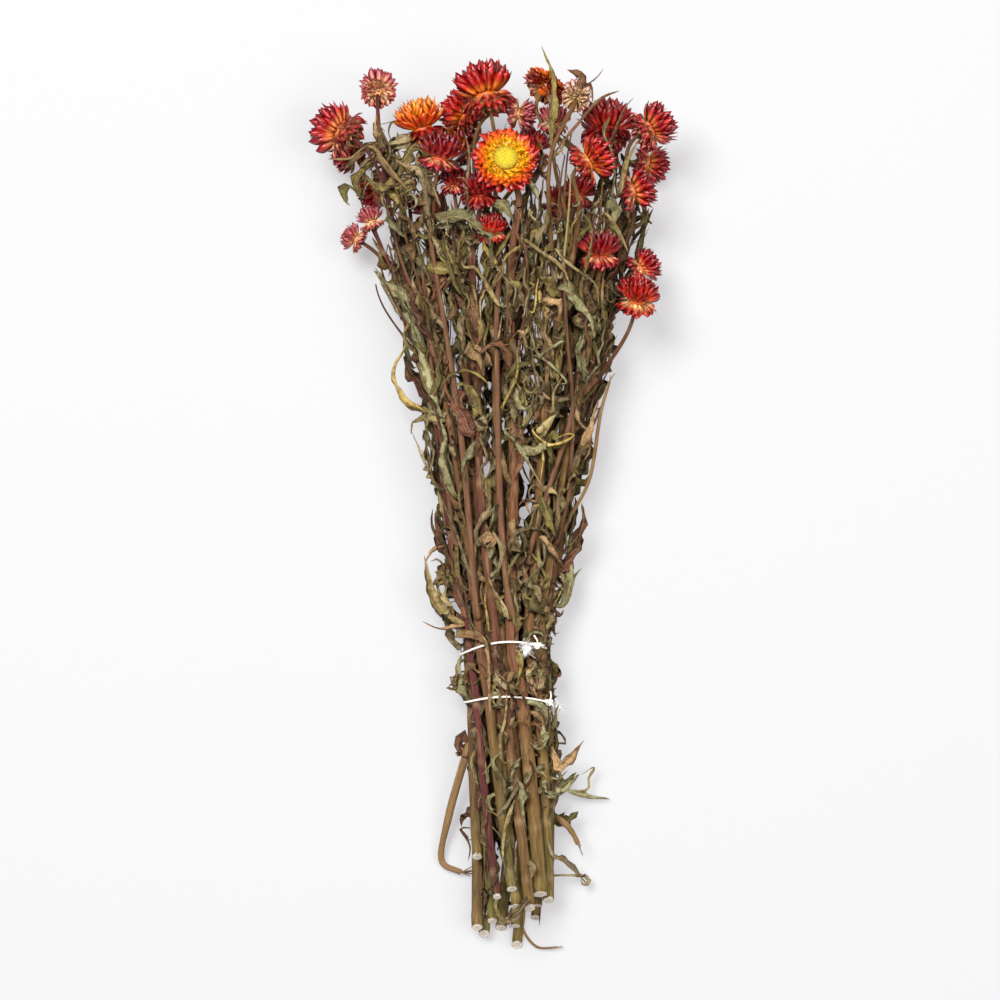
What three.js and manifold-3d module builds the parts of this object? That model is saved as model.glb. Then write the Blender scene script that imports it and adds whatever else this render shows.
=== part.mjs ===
// A bunch of dried strawflowers, laid down: eighteen leafy stems in two loops of
// string, with thirty-two flower heads. Millimetres, +Z up. The heads point along +Y
// and the cut ends along -Y. The bunch lies on the plane z = 0.
import * as THREE from "three";
import { mergeVertices } from "three/addons/utils/BufferGeometryUtils.js";
import Module from "manifold-3d";

const wasm = await Module();
wasm.setup();

// ---- Driving dimensions -------------------------------------------------------------

const CLEARANCE = 0.3; // between pieces that touch
const ROUNDING = 0.1; // what the flat sides of two round bars may add to it
const WAIST_Y = -92; // where the bunch is held
const WAIST_RADIUS = 24.3; // inside the string
const STRING_RADIUS = 0.8;
const WAIST_Z = WAIST_RADIUS + 2 * STRING_RADIUS + 0.5;
const SAG = 3.4; // the ends of the bunch lie this much lower than its waist
const SAG_REACH = 80;
const RISE_PER_SPREAD = 22.7; // its middle rises as the bunch opens on the surface
const STEM_TAPER = 0.0019; // share of its radius that a stem loses per millimetre
const WAVER = 1.6; // how far a stem wanders where the bunch is twice as wide
const WAVER_LENGTH = 31;
const WAVER_UPWARD = 0.6; // as a share of the wandering sideways
const WAVER_LENGTH_UPWARD = 23;
const WAVER_STEP = 2.4; // of phase, from stem to stem
const TIGHTEST_SPREAD = 0.93; // inner stems keep clear of their hosts down to this
const STALK_RADIUS = 1; // under a head
const BOUND_FROM = -112; // the stems run side by side between these, under the strings
const BOUND_TO = -72;
const STEM_STEP = 42;
const STEM_SIDES = 5;
const STEM_FLAT = 0.7; // the lowest stems sink to this share of their radius
const SHOOT_SIDES = 4;
const BLADE_HALF_THICKNESS = 0.4;
const HANDLE = 0.36; // how stiffly a stalk bends, as a share of its length
const LEADER_LEAD = 0.8; // how far a stalk keeps its stem's direction as it leaves
const SHOOT_LEAD = 0.4;
const SHOOT_RADIUS = 0.6; // of a shoot at its root, as a share of its stem's radius
const STALK_STEPS = 5;
const HEAD_BASE = 0.4; // how far a head's base lies behind its middle, in radii
const GOLDEN_ANGLE = 137.5;
const FIRST_LEAF_Y = -66; // the leaves were stripped below the waist
const LEAF_SPACING = 39; // along a stem
const LEAF_PLACES = 4; // round the stem, tried in turn for each leaf
const LEAF_END = 5; // from a stem's last leaf to its stalk
const LEAF_COURSE = [0, 0.3, 0.65, 1]; // shares of a leaf's length where it is placed
const LEAF_ARCH = 0.7; // of half a turn: how far a leaf comes back to its stem
const LIFTS = [0, 1.5, -1.5, 3, -3, 5, -5]; // tried in turn for each leaf that stands out

// The bunch's form along Y: y, middle x, spread across, spread up, twist in degrees.
const [MIDDLE, ACROSS, UPWARD, TWIST] = [1, 2, 3, 4];
const SPREAD = [
  [-250, 12, 0.94, 0.94, -50],
  [-112, 10.5, 1, 1, -6],
  [-72, 7.5, 1, 1, 3],
  [-30, 7.5, 1.35, 1.07, 7],
  [41, 8.5, 1.9, 1.25, 10],
  [113, 11, 2.55, 1.45, 12],
  [165, 13, 3.15, 1.65, 12],
];

// Outer stems, round the waist from the left over the top: place in degrees, radius,
// the y of the cut end, the y where the first head's stalk begins.
const OUTER_STEMS = [
  { at: 153, radius: 2.2, cut: -217, top: 158 },
  { at: 128, radius: 2.9, cut: -213, top: 160 },
  { at: 103, radius: 3.0, cut: -224, top: 130 },
  { at: 76, radius: 3.9, cut: -217, top: 165 },
  { at: 48, radius: 3.0, cut: -221, top: 160 },
  { at: 21, radius: 2.6, cut: -210, top: 110 },
  { at: -7, radius: 2.8, cut: -232, top: 150 },
  { at: -35, radius: 3.0, cut: -247, top: 160 },
  { at: -64, radius: 3.0, cut: -238, top: 135 },
  { at: -97, radius: 3.0, cut: -241, top: 150 },
  { at: -129, radius: 3.0, cut: -236, top: 135 },
  { at: -169, radius: 2.8, cut: -196, top: 140 },
];

// Inner stems lean on an outer one, turned a little to the side of it.
const INNER_STEMS = [
  { host: 1, turn: 12, radius: 2.6, cut: -223, top: 150 },
  { host: 3, turn: -42, radius: 2.6, cut: -205, top: 110 },
  { host: 5, turn: 40, radius: 2.6, cut: -224, top: 165 },
  { host: 7, turn: 8, radius: 2.6, cut: -236, top: 140 },
  { host: 9, turn: 40, radius: 2.6, cut: -228, top: 160 },
  { host: 11, turn: 40, radius: 2.6, cut: -231, top: 165 },
];

// Flower heads: middle, diameter, heading clockwise from +Y and rise in degrees, stem,
// and for a head on a side shoot the y where that shoot leaves.
const HEADS = [
  { mid: [-62, 226.5, 58], across: 23, heading: 0, rise: -50, stem: 0 },
  { mid: [-82.5, 204.5, 45], across: 33, heading: -60, rise: -20, stem: 0, from: 135 },
  { mid: [-77, 195, 22], across: 24, heading: -110, rise: 0, stem: 11 },
  { mid: [-38, 206.5, 50], across: 33, heading: -15, rise: 5, stem: 1 },
  { mid: [-28, 189, 72], across: 27, heading: 10, rise: 15, stem: 1, from: 140 },
  { mid: [-64, 176, 10.9], across: 24, heading: -120, rise: -10, stem: 11, from: 115 },
  { mid: [-3, 223, 66], across: 36.5, heading: -15, rise: -8, stem: 13 },
  { mid: [-14, 215, 38], across: 29, heading: -50, rise: -10, stem: 17 },
  { mid: [7.5, 186.5, 86], across: 39, heading: 20, rise: 80, stem: 3, open: true },
  { mid: [-16, 200, 16], across: 26, heading: -70, rise: 0, stem: 17, from: 130 },
  { mid: [15, 214, 54], across: 20, heading: 100, rise: 0, stem: 13, from: 106 },
  { mid: [30, 229, 52], across: 30, heading: 35, rise: -20, stem: 14, open: true },
  { mid: [46, 222, 70], across: 19, heading: 10, rise: -60, stem: 4, from: 100, via: [32, 188, 82] },
  { mid: [34, 208, 66], across: 20, heading: 5, rise: 10, stem: 4, from: 135 },
  { mid: [53, 187, 68], across: 30, heading: 60, rise: 0, stem: 4 },
  { mid: [63.5, 206, 40], across: 34, heading: 0, rise: -20, stem: 15 },
  { mid: [86.5, 205.5, 56], across: 29, heading: 60, rise: -10, stem: 6 },
  { mid: [87, 190, 10.6], across: 24, heading: 100, rise: -10, stem: 7 },
  { mid: [77.5, 171.5, 58], across: 26, heading: 75, rise: -5, stem: 6, from: 115 },
  { mid: [59, 136.5, 62], across: 27, heading: 0, rise: 15, stem: 5 },
  { mid: [82.5, 130.5, 37], across: 22, heading: 60, rise: 0, stem: 6, from: 85 },
  { mid: [79.5, 112, 53], across: 27, heading: 10, rise: 20, stem: 6, from: 55 },
  { mid: [-20, 175, 60], across: 19, heading: 0, rise: 20, stem: 12 },
  { mid: [-6.5, 169, 75], across: 25, heading: 0, rise: 20, stem: 2 },
  { mid: [0, 148.5, 71.5], across: 20, heading: 0, rise: 20, stem: 2, from: 95 },
  { mid: [-66, 156, 40], across: 17, heading: -20, rise: 0, stem: 0, from: 95 },
  { mid: [-75, 147, 27], across: 17, heading: -60, rise: 0, stem: 11, from: 85 },
  { mid: [48, 171, 38], across: 22, heading: 20, rise: 10, stem: 15, from: 115 },
  { mid: [38, 166, 13], across: 24, heading: 20, rise: -10, stem: 8 },
  { mid: [14, 184, 13], across: 24, heading: 0, rise: -10, stem: 9 },
  { mid: [-34, 163, 13], across: 24, heading: -20, rise: -10, stem: 10 },
  { mid: [22, 196, 34], across: 24, heading: 10, rise: 0, stem: 16 },
];

// Rows of bracts from the middle of a head out: the tips' radius and height, then the
// waist under them, in head radii, and the share of the bracts of a whole row.
const FULL_ROWS = [
  { tip: [0.34, 0.98], waist: [0.32, 0.3], share: 0.65 },
  { tip: [0.8, 0.74], waist: [0.36, 0.1], share: 1 },
  { tip: [1, 0.3], waist: [0.38, -0.08], share: 1 },
  { tip: [0.8, -0.5], waist: [0.15, -0.38], share: 0.8 },
];
const OPEN_ROWS = [
  { tip: [0.62, 0.42], waist: [0.42, 0.05], share: 0.9 },
  { tip: [0.88, 0.28], waist: [0.45, -0.02], share: 1 },
  { tip: [1, 0], waist: [0.4, -0.15], share: 1 },
  { tip: [0.7, -0.32], waist: [0.15, -0.38], share: 0.8 },
];
const FULL_FLOOR = 0.35; // height of the hollow in a full head
const OPEN_FLOOR = 0.12; // height of the dish that holds the disc
const DISH_RADIUS = 0.36;
const DISC_PROFILE = [[0, 0], [0.29, 0], [0.33, 0.07], [0.231, 0.16], [0, 0.2]];
const DISC_SIDES = 12;
const FEWEST_BRACTS = 4.6; // in a whole row, and one more for each step of the diameter
const BRACT_PITCH = 5.2;
const NOTCH = 0.4; // how far up a bract it parts from the next

// Leaves and twigs that stand out of the bunch, along points chosen by hand: the stem,
// the y where each leaves it or the point where it leaves a stalk, half its width, and
// its course.
const stray = (stem, from, half, ...course) => ({ stem, from, half, course });
const STRAY_LEAVES = [
  stray(0, 44, 2.6, [-39, 53, 34], [-48, 59, 36], [-54, 73, 39], [-47, 89, 40], [-49, 102, 42]),
  stray(0, 70, 3.4, [-39, 94, 45], [-43, 103, 46], [-49, 112, 45]),
  stray(0, 96, 4, [-48, 114, 42], [-59, 123, 45], [-64, 129, 44]),
  stray(2, 138, 4.3, [-6, 150, 78], [-16, 158, 81], [-27, 156, 80]),
  stray(1, 158, 3.4, [-56, 183, 70], [-66, 194, 74], [-77, 188, 73], [-88, 188, 68]),
  stray(0, 156, 3.6, [-51, 174, 62], [-59, 173, 65], [-66, 177, 65]),
  stray(1, 144, 3.6, [-37, 178, 76], [-45, 183, 77], [-52, 187, 75]),
  stray(4, [32, 188, 82], 1.9, [33, 206, 82], [34, 222, 79], [33, 235, 75], [27, 249, 70]),
  stray(4, [32, 188, 82], 1.9, [45, 203, 84], [58, 219, 83], [69, 224, 80]),
  stray(4, 130, 2, [66, 176, 50], [67, 190, 58], [61, 204, 66], [65, 213, 68]),
  stray(3, 148, 2.6, [26, 138, 80], [39, 128, 77], [43, 113, 72]),
  stray(4, 106, 3.4, [32, 118, 72], [27, 125, 75], [21, 135, 76]),
  stray(5, 95, 2.4, [49, 116, 62], [53, 134, 77], [54, 150, 80], [47, 161, 79]),
  stray(2, 60, 3, [-2, 66, 64], [-12, 73, 67], [-22, 71, 64], [-27, 65, 58]),
  stray(3, 70, 2.8, [8, 84, 69], [0, 87, 71], [-7, 82, 68]),
  stray(4, 71, 4.2, [33, 84, 64], [29, 94, 66], [31, 103, 68]),
  stray(0, -37, 2.8, [-28, 3, 33], [-36, 22, 35], [-45, 42, 33]),
  stray(0, -66, 3.8, [-28, -58, 28], [-33, -44, 29], [-37, -28, 27]),
  stray(11, -34, 2.4, [-29, -20, 20], [-33, -12, 22], [-33, -2, 25]),
  stray(0, -66, 1.4, [-21, -67, 34], [-29, -68, 36], [-38, -64, 36]),
  stray(6, -41, 2.6, [41, -33, 26], [49, -24, 29], [49, -15, 32]),
  stray(6, -20, 1.2, [42, -9, 28], [54, 14, 32], [60, 50, 38], [65, 68, 40]),
  stray(6, 20, 3, [52, 38, 42], [59, 58, 44]),
  stray(5, -130, 2.8, [37, -143, 36], [43, -140, 36], [51, -130, 32]),
  stray(4, -150, 3, [32, -160, 42], [40, -157, 39], [48, -148, 34]),
  stray(6, -146, 2.2, [41, -158, 14], [52, -162, 8], [66, -163, 4]),
  stray(6, -166, 4, [37, -176, 14], [43, -176, 15], [48, -170, 16]),
  stray(4, -182, 1.8, [33, -193, 36], [40, -197, 28], [47, -204, 16], [54, -212, 8]),
  stray(11, -128, 2, [-17, -148, 20], [-24, -174, 12], [-28, -198, 5], [-17, -205, 4]),
  stray(2, -134, 2.2, [1, -140, 52], [7, -151, 53], [6, -163, 51]),
  stray(2, -160, 2.4, [9, -170, 51], [6, -184, 51], [7, -195, 49]),
  stray(2, -215, 2.6, [12, -226, 43], [6, -229, 41], [1, -222, 38]),
  stray(7, -231, 1.2, [19, -240, 3.6], [26, -247, 3.4], [37, -247, 4]),
  stray(6, -170, 1.8, [40, -176, 22], [45, -182, 21], [48, -188, 20]),
];

// ---- Numbers and curves -------------------------------------------------------------

// Seeded numbers between low and high, the same at every run.
function seeded(seed) {
  let state = seed * 7919 + 12345;
  const draw = (low, high) => {
    state = (state * 48271) % 2147483647;
    return low + (state / 2147483647) * (high - low);
  };
  draw(0, 1);
  draw(0, 1);
  return draw;
}

const UP = new THREE.Vector3(0, 0, 1);
const vec = (point) => new THREE.Vector3(...point);
const radians = (degrees) => (degrees * Math.PI) / 180;
const mix = (a, b, share) => a + (b - a) * share;

function smooth(share) {
  const t = Math.min(1, Math.max(0, share));
  return t * t * (3 - 2 * t);
}

// A column of SPREAD at any y, on a curve that never overshoots its stations.
function spread(y, column) {
  const last = SPREAD.length - 1;
  const at = Math.min(SPREAD[last][0], Math.max(SPREAD[0][0], y));
  let i = 0;
  while (i < last - 1 && at > SPREAD[i + 1][0]) i += 1;
  const value = (k) => SPREAD[k][column];
  const slope = (k) => (value(k + 1) - value(k)) / (SPREAD[k + 1][0] - SPREAD[k][0]);
  const tangent = (k) => {
    if (k === 0) return slope(0);
    if (k === last) return slope(last - 1);
    const before = slope(k - 1);
    const after = slope(k);
    return before * after <= 0 ? 0 : (2 * before * after) / (before + after);
  };
  const run = SPREAD[i + 1][0] - SPREAD[i][0];
  const t = (at - SPREAD[i][0]) / run;
  return (
    value(i) * (1 + 2 * t) * (1 - t) ** 2 +
    tangent(i) * run * t * (1 - t) ** 2 +
    value(i + 1) * t * t * (3 - 2 * t) +
    tangent(i + 1) * run * t * t * (t - 1)
  );
}

function middleHeight(y) {
  const sag = SAG * smooth(Math.abs(y - WAIST_Y) / SAG_REACH);
  return WAIST_Z + (spread(y, UPWARD) - 1) * RISE_PER_SPREAD - sag;
}

// ---- Solids -------------------------------------------------------------------------

function solidFrom(vertices, triangles) {
  const geometry = new THREE.BufferGeometry();
  const numbers = vertices.flatMap((vertex) => vertex.toArray());
  geometry.setAttribute("position", new THREE.Float32BufferAttribute(numbers, 3));
  geometry.setIndex(triangles.flat());
  return solidOf(geometry);
}

function solidOf(geometry) {
  const bare = geometry.clone();
  bare.deleteAttribute("normal");
  bare.deleteAttribute("uv");
  const merged = mergeVertices(bare, 1e-4);
  return new wasm.Manifold(
    new wasm.Mesh({
      numProp: 3,
      vertProperties: merged.attributes.position.array,
      triVerts: new Uint32Array(merged.index.array),
    }),
  );
}

// Unit tangents along a list of points.
function tangentsOf(points) {
  return points.map((_, i) =>
    points[Math.min(i + 1, points.length - 1)].clone().sub(points[Math.max(i - 1, 0)]).normalize(),
  );
}

// Directions across the points, turned no more than the course turns.
function crosswaysOf(tangents, first) {
  let across = first.clone();
  return tangents.map((tangent) => {
    across = across.clone().addScaledVector(tangent, -across.dot(tangent)).normalize();
    return across;
  });
}

// A closed round bar of changing radius along the points.
function bar(points, radii, sides) {
  const tangents = tangentsOf(points);
  const across = crosswaysOf(tangents, UP);
  const vertices = [];
  const triangles = [];
  points.forEach((point, i) => {
    const other = tangents[i].clone().cross(across[i]);
    for (let s = 0; s < sides; s += 1) {
      const angle = (2 * Math.PI * s) / sides;
      vertices.push(
        point
          .clone()
          .addScaledVector(across[i], radii[i] * Math.cos(angle))
          .addScaledVector(other, radii[i] * Math.sin(angle)),
      );
    }
  });
  for (let i = 0; i < points.length - 1; i += 1) {
    for (let s = 0; s < sides; s += 1) {
      const a = i * sides + s;
      const b = i * sides + ((s + 1) % sides);
      triangles.push([a, b, b + sides], [a, b + sides, a + sides]);
    }
  }
  const end = (points.length - 1) * sides;
  for (let s = 1; s < sides - 1; s += 1) {
    triangles.push([0, s + 1, s], [end, end + s, end + s + 1]);
  }
  return solidFrom(vertices, triangles);
}

// A folded leaf blade with a keel on each face, from a root sunk in its stem to a point.
const BLADE_STATIONS = [0, 0.16, 0.45, 0.75];
const BLADE_WIDTHS = [0, 0.6, 1, 0.7];
const BLADE_ROOT = 0.8;

function blade(course, half, facing, manner) {
  const curve = new THREE.CatmullRomCurve3(course, false, "catmullrom", 0.5);
  const points = [...BLADE_STATIONS, 1].map((share) => curve.getPoint(share));
  const tangents = tangentsOf(points);
  const across = crosswaysOf(tangents, facing.clone().cross(tangents[0]));
  const vertices = [];
  const triangles = [];
  BLADE_STATIONS.forEach((share, i) => {
    const width = Math.max(BLADE_ROOT, BLADE_WIDTHS[i] * half);
    const turn = radians(manner.roll + manner.twist * share);
    const out = across[i].clone().applyAxisAngle(tangents[i], turn);
    const up = out.clone().cross(tangents[i]);
    const middle = points[i].clone().addScaledVector(up, -manner.fold * (width - BLADE_ROOT));
    vertices.push(
      points[i].clone().addScaledVector(out, -width),
      middle.clone().addScaledVector(up, BLADE_HALF_THICKNESS),
      points[i].clone().addScaledVector(out, width),
      middle.clone().addScaledVector(up, -BLADE_HALF_THICKNESS),
    );
  });
  const tip = vertices.push(points[points.length - 1]) - 1;
  for (let i = 0; i < BLADE_STATIONS.length - 1; i += 1) {
    const [left, top, right, under] = [0, 1, 2, 3].map((k) => 4 * i + k);
    triangles.push(
      [left, top + 4, left + 4],
      [left, top, top + 4],
      [right, right + 4, top + 4],
      [right, top + 4, top],
      [left, left + 4, under + 4],
      [left, under + 4, under],
      [right, under + 4, right + 4],
      [right, under, under + 4],
    );
  }
  const last = 4 * (BLADE_STATIONS.length - 1);
  triangles.push([0, 2, 1], [0, 3, 2]);
  for (let k = 0; k < 4; k += 1) triangles.push([last + k, last + ((k + 1) % 4), tip]);
  return solidFrom(vertices, triangles);
}

// ---- Stems --------------------------------------------------------------------------

function outerSlot({ at, radius }) {
  const reach = WAIST_RADIUS - radius - CLEARANCE;
  return { u: reach * Math.cos(radians(at)), v: reach * Math.sin(radians(at)) };
}

function innerSlot({ host, turn, radius }, hosts) {
  const { u, v, radius: hostRadius } = hosts[host];
  const gap = (hostRadius + radius + CLEARANCE + ROUNDING) / TIGHTEST_SPREAD;
  const inward = Math.atan2(v, u) + radians(turn);
  return { u: u - gap * Math.cos(inward), v: v - gap * Math.sin(inward) };
}

const outer = OUTER_STEMS.map((stem) => ({ ...stem, ...outerSlot(stem) }));
const inner = INNER_STEMS.map((stem) => ({ ...stem, ...innerSlot(stem, outer) }));
const stems = [...outer, ...inner].map((stem, index) => ({ ...stem, phase: WAVER_STEP * index }));

const stemRadius = (stem, y) => stem.radius * (1 - STEM_TAPER * Math.max(0, y - WAIST_Y));

// The middle of a stem at any y.
function stemPoint(stem, y) {
  const across = spread(y, ACROSS);
  const waver = WAVER * (across - 1);
  const twist = radians(spread(y, TWIST));
  const u = stem.u * Math.cos(twist) - stem.v * Math.sin(twist);
  const v = stem.u * Math.sin(twist) + stem.v * Math.cos(twist);
  const sideways = waver * Math.sin(y / WAVER_LENGTH + stem.phase);
  const upward = WAVER_UPWARD * waver * Math.sin(y / WAVER_LENGTH_UPWARD + 2 * stem.phase);
  const x = spread(y, MIDDLE) + across * u + sideways;
  const z = middleHeight(y) + spread(y, UPWARD) * v + upward;
  return new THREE.Vector3(x, y, Math.max(z, STEM_FLAT * stemRadius(stem, y)));
}

function stemDirection(stem, y) {
  return stemPoint(stem, y + 1).sub(stemPoint(stem, y - 1)).normalize();
}

function headAxis({ heading, rise }) {
  const flat = Math.cos(radians(rise));
  return new THREE.Vector3(
    Math.sin(radians(heading)) * flat,
    Math.cos(radians(heading)) * flat,
    Math.sin(radians(rise)),
  );
}

// The points of a head's stalk, from the stem to just short of the head's base.
function stalkPoints(head, start, steps) {
  const stem = stems[head.stem];
  const axis = headAxis(head);
  const reach = HEAD_BASE * (head.across / 2) + CLEARANCE;
  const from = stemPoint(stem, start);
  const to = vec(head.mid).addScaledVector(axis, -reach);
  const behind = (distance) => to.clone().addScaledVector(axis, -distance);
  if (head.via) {
    const points = [from, vec(head.via), behind(head.across / 3), to];
    return new THREE.CatmullRomCurve3(points).getPoints(steps);
  }
  const handle = HANDLE * from.distanceTo(to);
  const away = to.clone().sub(from).normalize();
  const lead = head.from === undefined ? LEADER_LEAD : SHOOT_LEAD;
  const leaving = away.multiplyScalar(1 - lead).addScaledVector(stemDirection(stem, start), lead);
  const after = from.clone().addScaledVector(leaving, handle);
  return new THREE.CubicBezierCurve3(from, after, behind(handle), to).getPoints(steps);
}

// Places from a to just before b.
function evenly(a, b, steps) {
  return Array.from({ length: steps }, (_, i) => mix(a, b, i / steps));
}

// The radii of a stalk, from its root to the head.
function narrowing(root, count) {
  return Array.from({ length: count }, (_, i) => mix(root, STALK_RADIUS, i / (count - 1)));
}

function stemBar(index) {
  const stem = stems[index];
  const leader = HEADS.find((head) => head.stem === index && head.from === undefined);
  const along = [
    ...evenly(stem.cut, BOUND_FROM, 2),
    ...evenly(BOUND_FROM, BOUND_TO, 2),
    ...evenly(BOUND_TO, stem.top, Math.ceil((stem.top - BOUND_TO) / STEM_STEP)),
  ];
  const stalk = stalkPoints(leader, stem.top, STALK_STEPS);
  const points = [...along.map((y) => stemPoint(stem, y)), ...stalk];
  const radii = [
    ...along.map((y) => stemRadius(stem, y)),
    ...narrowing(stemRadius(stem, stem.top), stalk.length),
  ];
  return bar(points, radii, STEM_SIDES);
}

function shootBar(head) {
  const points = stalkPoints(head, head.from, STALK_STEPS);
  const root = SHOOT_RADIUS * stemRadius(stems[head.stem], head.from);
  return bar(points, narrowing(root, points.length), SHOOT_SIDES);
}

// ---- Flower heads -------------------------------------------------------------------

// Joins two rings of points, each given as [angle, vertex number] in order of angle.
function band(inside, outside) {
  const triangles = [];
  let i = 0;
  let o = 0;
  const angleOf = (ring, k) => ring[k % ring.length][0] + (k >= ring.length ? 2 * Math.PI : 0);
  const at = (ring, k) => ring[k % ring.length][1];
  while (i < inside.length || o < outside.length) {
    const nextInside = i < inside.length ? angleOf(inside, i + 1) : Infinity;
    const nextOutside = o < outside.length ? angleOf(outside, o + 1) : Infinity;
    if (nextOutside <= nextInside) {
      triangles.push([at(inside, i), at(outside, o), at(outside, o + 1)]);
      o += 1;
    } else {
      triangles.push([at(inside, i), at(outside, o), at(inside, i + 1)]);
      i += 1;
    }
  }
  return triangles;
}

function headTurn(head) {
  return new THREE.Quaternion().setFromUnitVectors(UP, headAxis(head));
}

// A head as rows of pointed bracts round a waisted core, in one closed surface.
function headSolid(head, index) {
  const radius = head.across / 2;
  const draw = seeded(100 + index);
  const whole = Math.round(FEWEST_BRACTS + head.across / BRACT_PITCH);
  const turned = headTurn(head);
  const middle = vec(head.mid);
  const vertices = [];
  const triangles = [];
  const place = (angle, r, height) => {
    const local = new THREE.Vector3(r * Math.cos(angle), r * Math.sin(angle), height);
    vertices.push(local.multiplyScalar(radius).applyQuaternion(turned).add(middle));
    return [angle, vertices.length - 1];
  };
  const ring = (count, offset, r, height) =>
    Array.from({ length: count }, (_, k) => place(((k + offset) * 2 * Math.PI) / count, r, height));
  const floor = head.open ? OPEN_FLOOR : FULL_FLOOR;
  let inside = head.open
    ? { ring: ring(whole, 0.5, DISH_RADIUS, floor), at: [DISH_RADIUS, floor] }
    : { ring: null, at: [0, floor] };
  const fan = (apex, rim) => rim.map(([, v], k) => [apex, v, rim[(k + 1) % rim.length][1]]);
  const top = place(0, 0, floor)[1];
  if (inside.ring) triangles.push(...fan(top, inside.ring));
  (head.open ? OPEN_ROWS : FULL_ROWS).forEach(({ tip, waist, share }, i) => {
    const count = Math.round(whole * share);
    const stagger = (i % 2) / 2;
    const notch = [0, 1].map((k) => mix((inside.at[k] + waist[k]) / 2, tip[k], NOTCH));
    const pitch = (2 * Math.PI) / count;
    const edge = Array.from({ length: count }, (_, k) => [
      place((k + stagger) * pitch, tip[0] * draw(0.9, 1.04), tip[1] + draw(-0.05, 0.05)),
      place((k + stagger + 0.5) * pitch, ...notch),
    ]).flat();
    const under = ring(count, stagger + 0.5, ...waist);
    triangles.push(...(inside.ring ? band(inside.ring, edge) : fan(top, edge)), ...band(edge, under));
    inside = { ring: under, at: waist };
  });
  const base = place(0, 0, -HEAD_BASE)[1];
  triangles.push(...fan(base, inside.ring).map(([a, b, c]) => [a, c, b]));
  return solidFrom(vertices, triangles);
}

// The dome of tiny florets in the dish of an open head.
function discSolid(head) {
  const radius = head.across / 2;
  const profile = DISC_PROFILE.map(([r, height]) => new THREE.Vector2(r * radius, height * radius));
  const geometry = new THREE.LatheGeometry(profile, DISC_SIDES);
  geometry.rotateX(Math.PI / 2);
  geometry.translate(0, 0, OPEN_FLOOR * radius + CLEARANCE);
  geometry.applyQuaternion(headTurn(head));
  geometry.translate(...head.mid);
  return solidOf(geometry);
}

// ---- String -------------------------------------------------------------------------

// Each loop's highest place in the middle of its arch, how far its sides lie back from
// there, how much higher its right side is, and its knot's place in degrees. A tail ends
// at an angle from the knot and a distance along the bunch.
const STRINGS = [
  { name: "upper_string", y: -75, arch: 6.3, slant: 1.25, knotAt: 48, tails: [[-11.5, 1], [5.7, 5]] },
  { name: "lower_string", y: -105, arch: 4.5, slant: -0.5, knotAt: 36, tails: [[-9.5, -3], [-1.9, 6]] },
];
const LOOP_STEPS = 30;
const LOOP_SIDES = 4;
const KNOT_RADIUS = 2.2;
const KNOT_FLATNESS = 0.8;
const KNOT_PROUD = 1; // how far the middle of a knot lies outside its loop
const TAIL_PROUD = 1.5;
const TAIL_RADII = [0.7, 0.7, 0.6];
const TAIL_ARCH = [0.8, 0, 1.2];

// A point on a loop of string, by its angle round the waist.
function loopPoint({ y, arch, slant }, angle, proud = 0) {
  const at = y - arch * Math.cos(angle) ** 2 + slant * Math.cos(angle);
  const radius = WAIST_RADIUS + STRING_RADIUS + proud;
  const x = spread(at, MIDDLE) + radius * Math.cos(angle);
  return new THREE.Vector3(x, at, middleHeight(at) + radius * Math.sin(angle));
}

class Loop extends THREE.Curve {
  constructor(string) {
    super();
    this.string = string;
  }

  getPoint(share, target = new THREE.Vector3()) {
    return target.copy(loopPoint(this.string, 2 * Math.PI * share));
  }
}

function stringSolid(string) {
  const angle = radians(string.knotAt);
  const seat = loopPoint(string, angle, KNOT_PROUD);
  const knot = new THREE.IcosahedronGeometry(KNOT_RADIUS, 0);
  knot.scale(1, KNOT_FLATNESS, KNOT_FLATNESS);
  knot.translate(...seat);
  const tails = string.tails.map(([turn, along]) => {
    const end = loopPoint(string, angle + radians(turn), TAIL_PROUD);
    end.y += along;
    const halfway = seat.clone().lerp(end, 0.5).add(vec(TAIL_ARCH));
    return bar([seat, halfway, end], TAIL_RADII, LOOP_SIDES);
  });
  const loop = new THREE.TubeGeometry(new Loop(string), LOOP_STEPS, STRING_RADIUS, LOOP_SIDES, true);
  return wasm.Manifold.union([solidOf(loop), solidOf(knot), ...tails]);
}

// ---- Growing the bunch --------------------------------------------------------------

// Every solid with the piece it belongs to, so that a new leaf can be kept clear.
const grown = [];

function boxesMeet(a, b, margin) {
  return [0, 1, 2].every((k) => a.min[k] - margin < b.max[k] && b.min[k] - margin < a.max[k]);
}

function isClear(solid, owner) {
  const box = solid.boundingBox();
  if (box.min[2] < CLEARANCE) return false;
  return grown.every(
    (other) =>
      other.owner === owner ||
      !boxesMeet(box, other.box, CLEARANCE) ||
      solid.minGap(other.solid, 2 * CLEARANCE) > CLEARANCE,
  );
}

function grow(owner, solid) {
  grown.push({ owner, solid, box: solid.boundingBox() });
}

const number = (index) => String(index + 1).padStart(2, "0");
const stemName = (index) => `leafy_stem_${number(index)}`;

HEADS.forEach((head, i) => {
  grow(`flower_head_${number(i)}`, headSolid(head, i));
  if (head.open) grow(`flower_disc_${number(i)}`, discSolid(head));
});
stems.forEach((_, i) => grow(stemName(i), stemBar(i)));
HEADS.filter((head) => head.from !== undefined).forEach((head) => {
  grow(stemName(head.stem), shootBar(head));
});
STRINGS.forEach((string) => grow(string.name, stringSolid(string)));

// Grows the first of the solids that lies clear of the rest, if one does.
function growFirstClear(owner, solids) {
  const chosen = solids.find((solid) => isClear(solid, owner));
  if (chosen) grow(owner, chosen);
}

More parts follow.
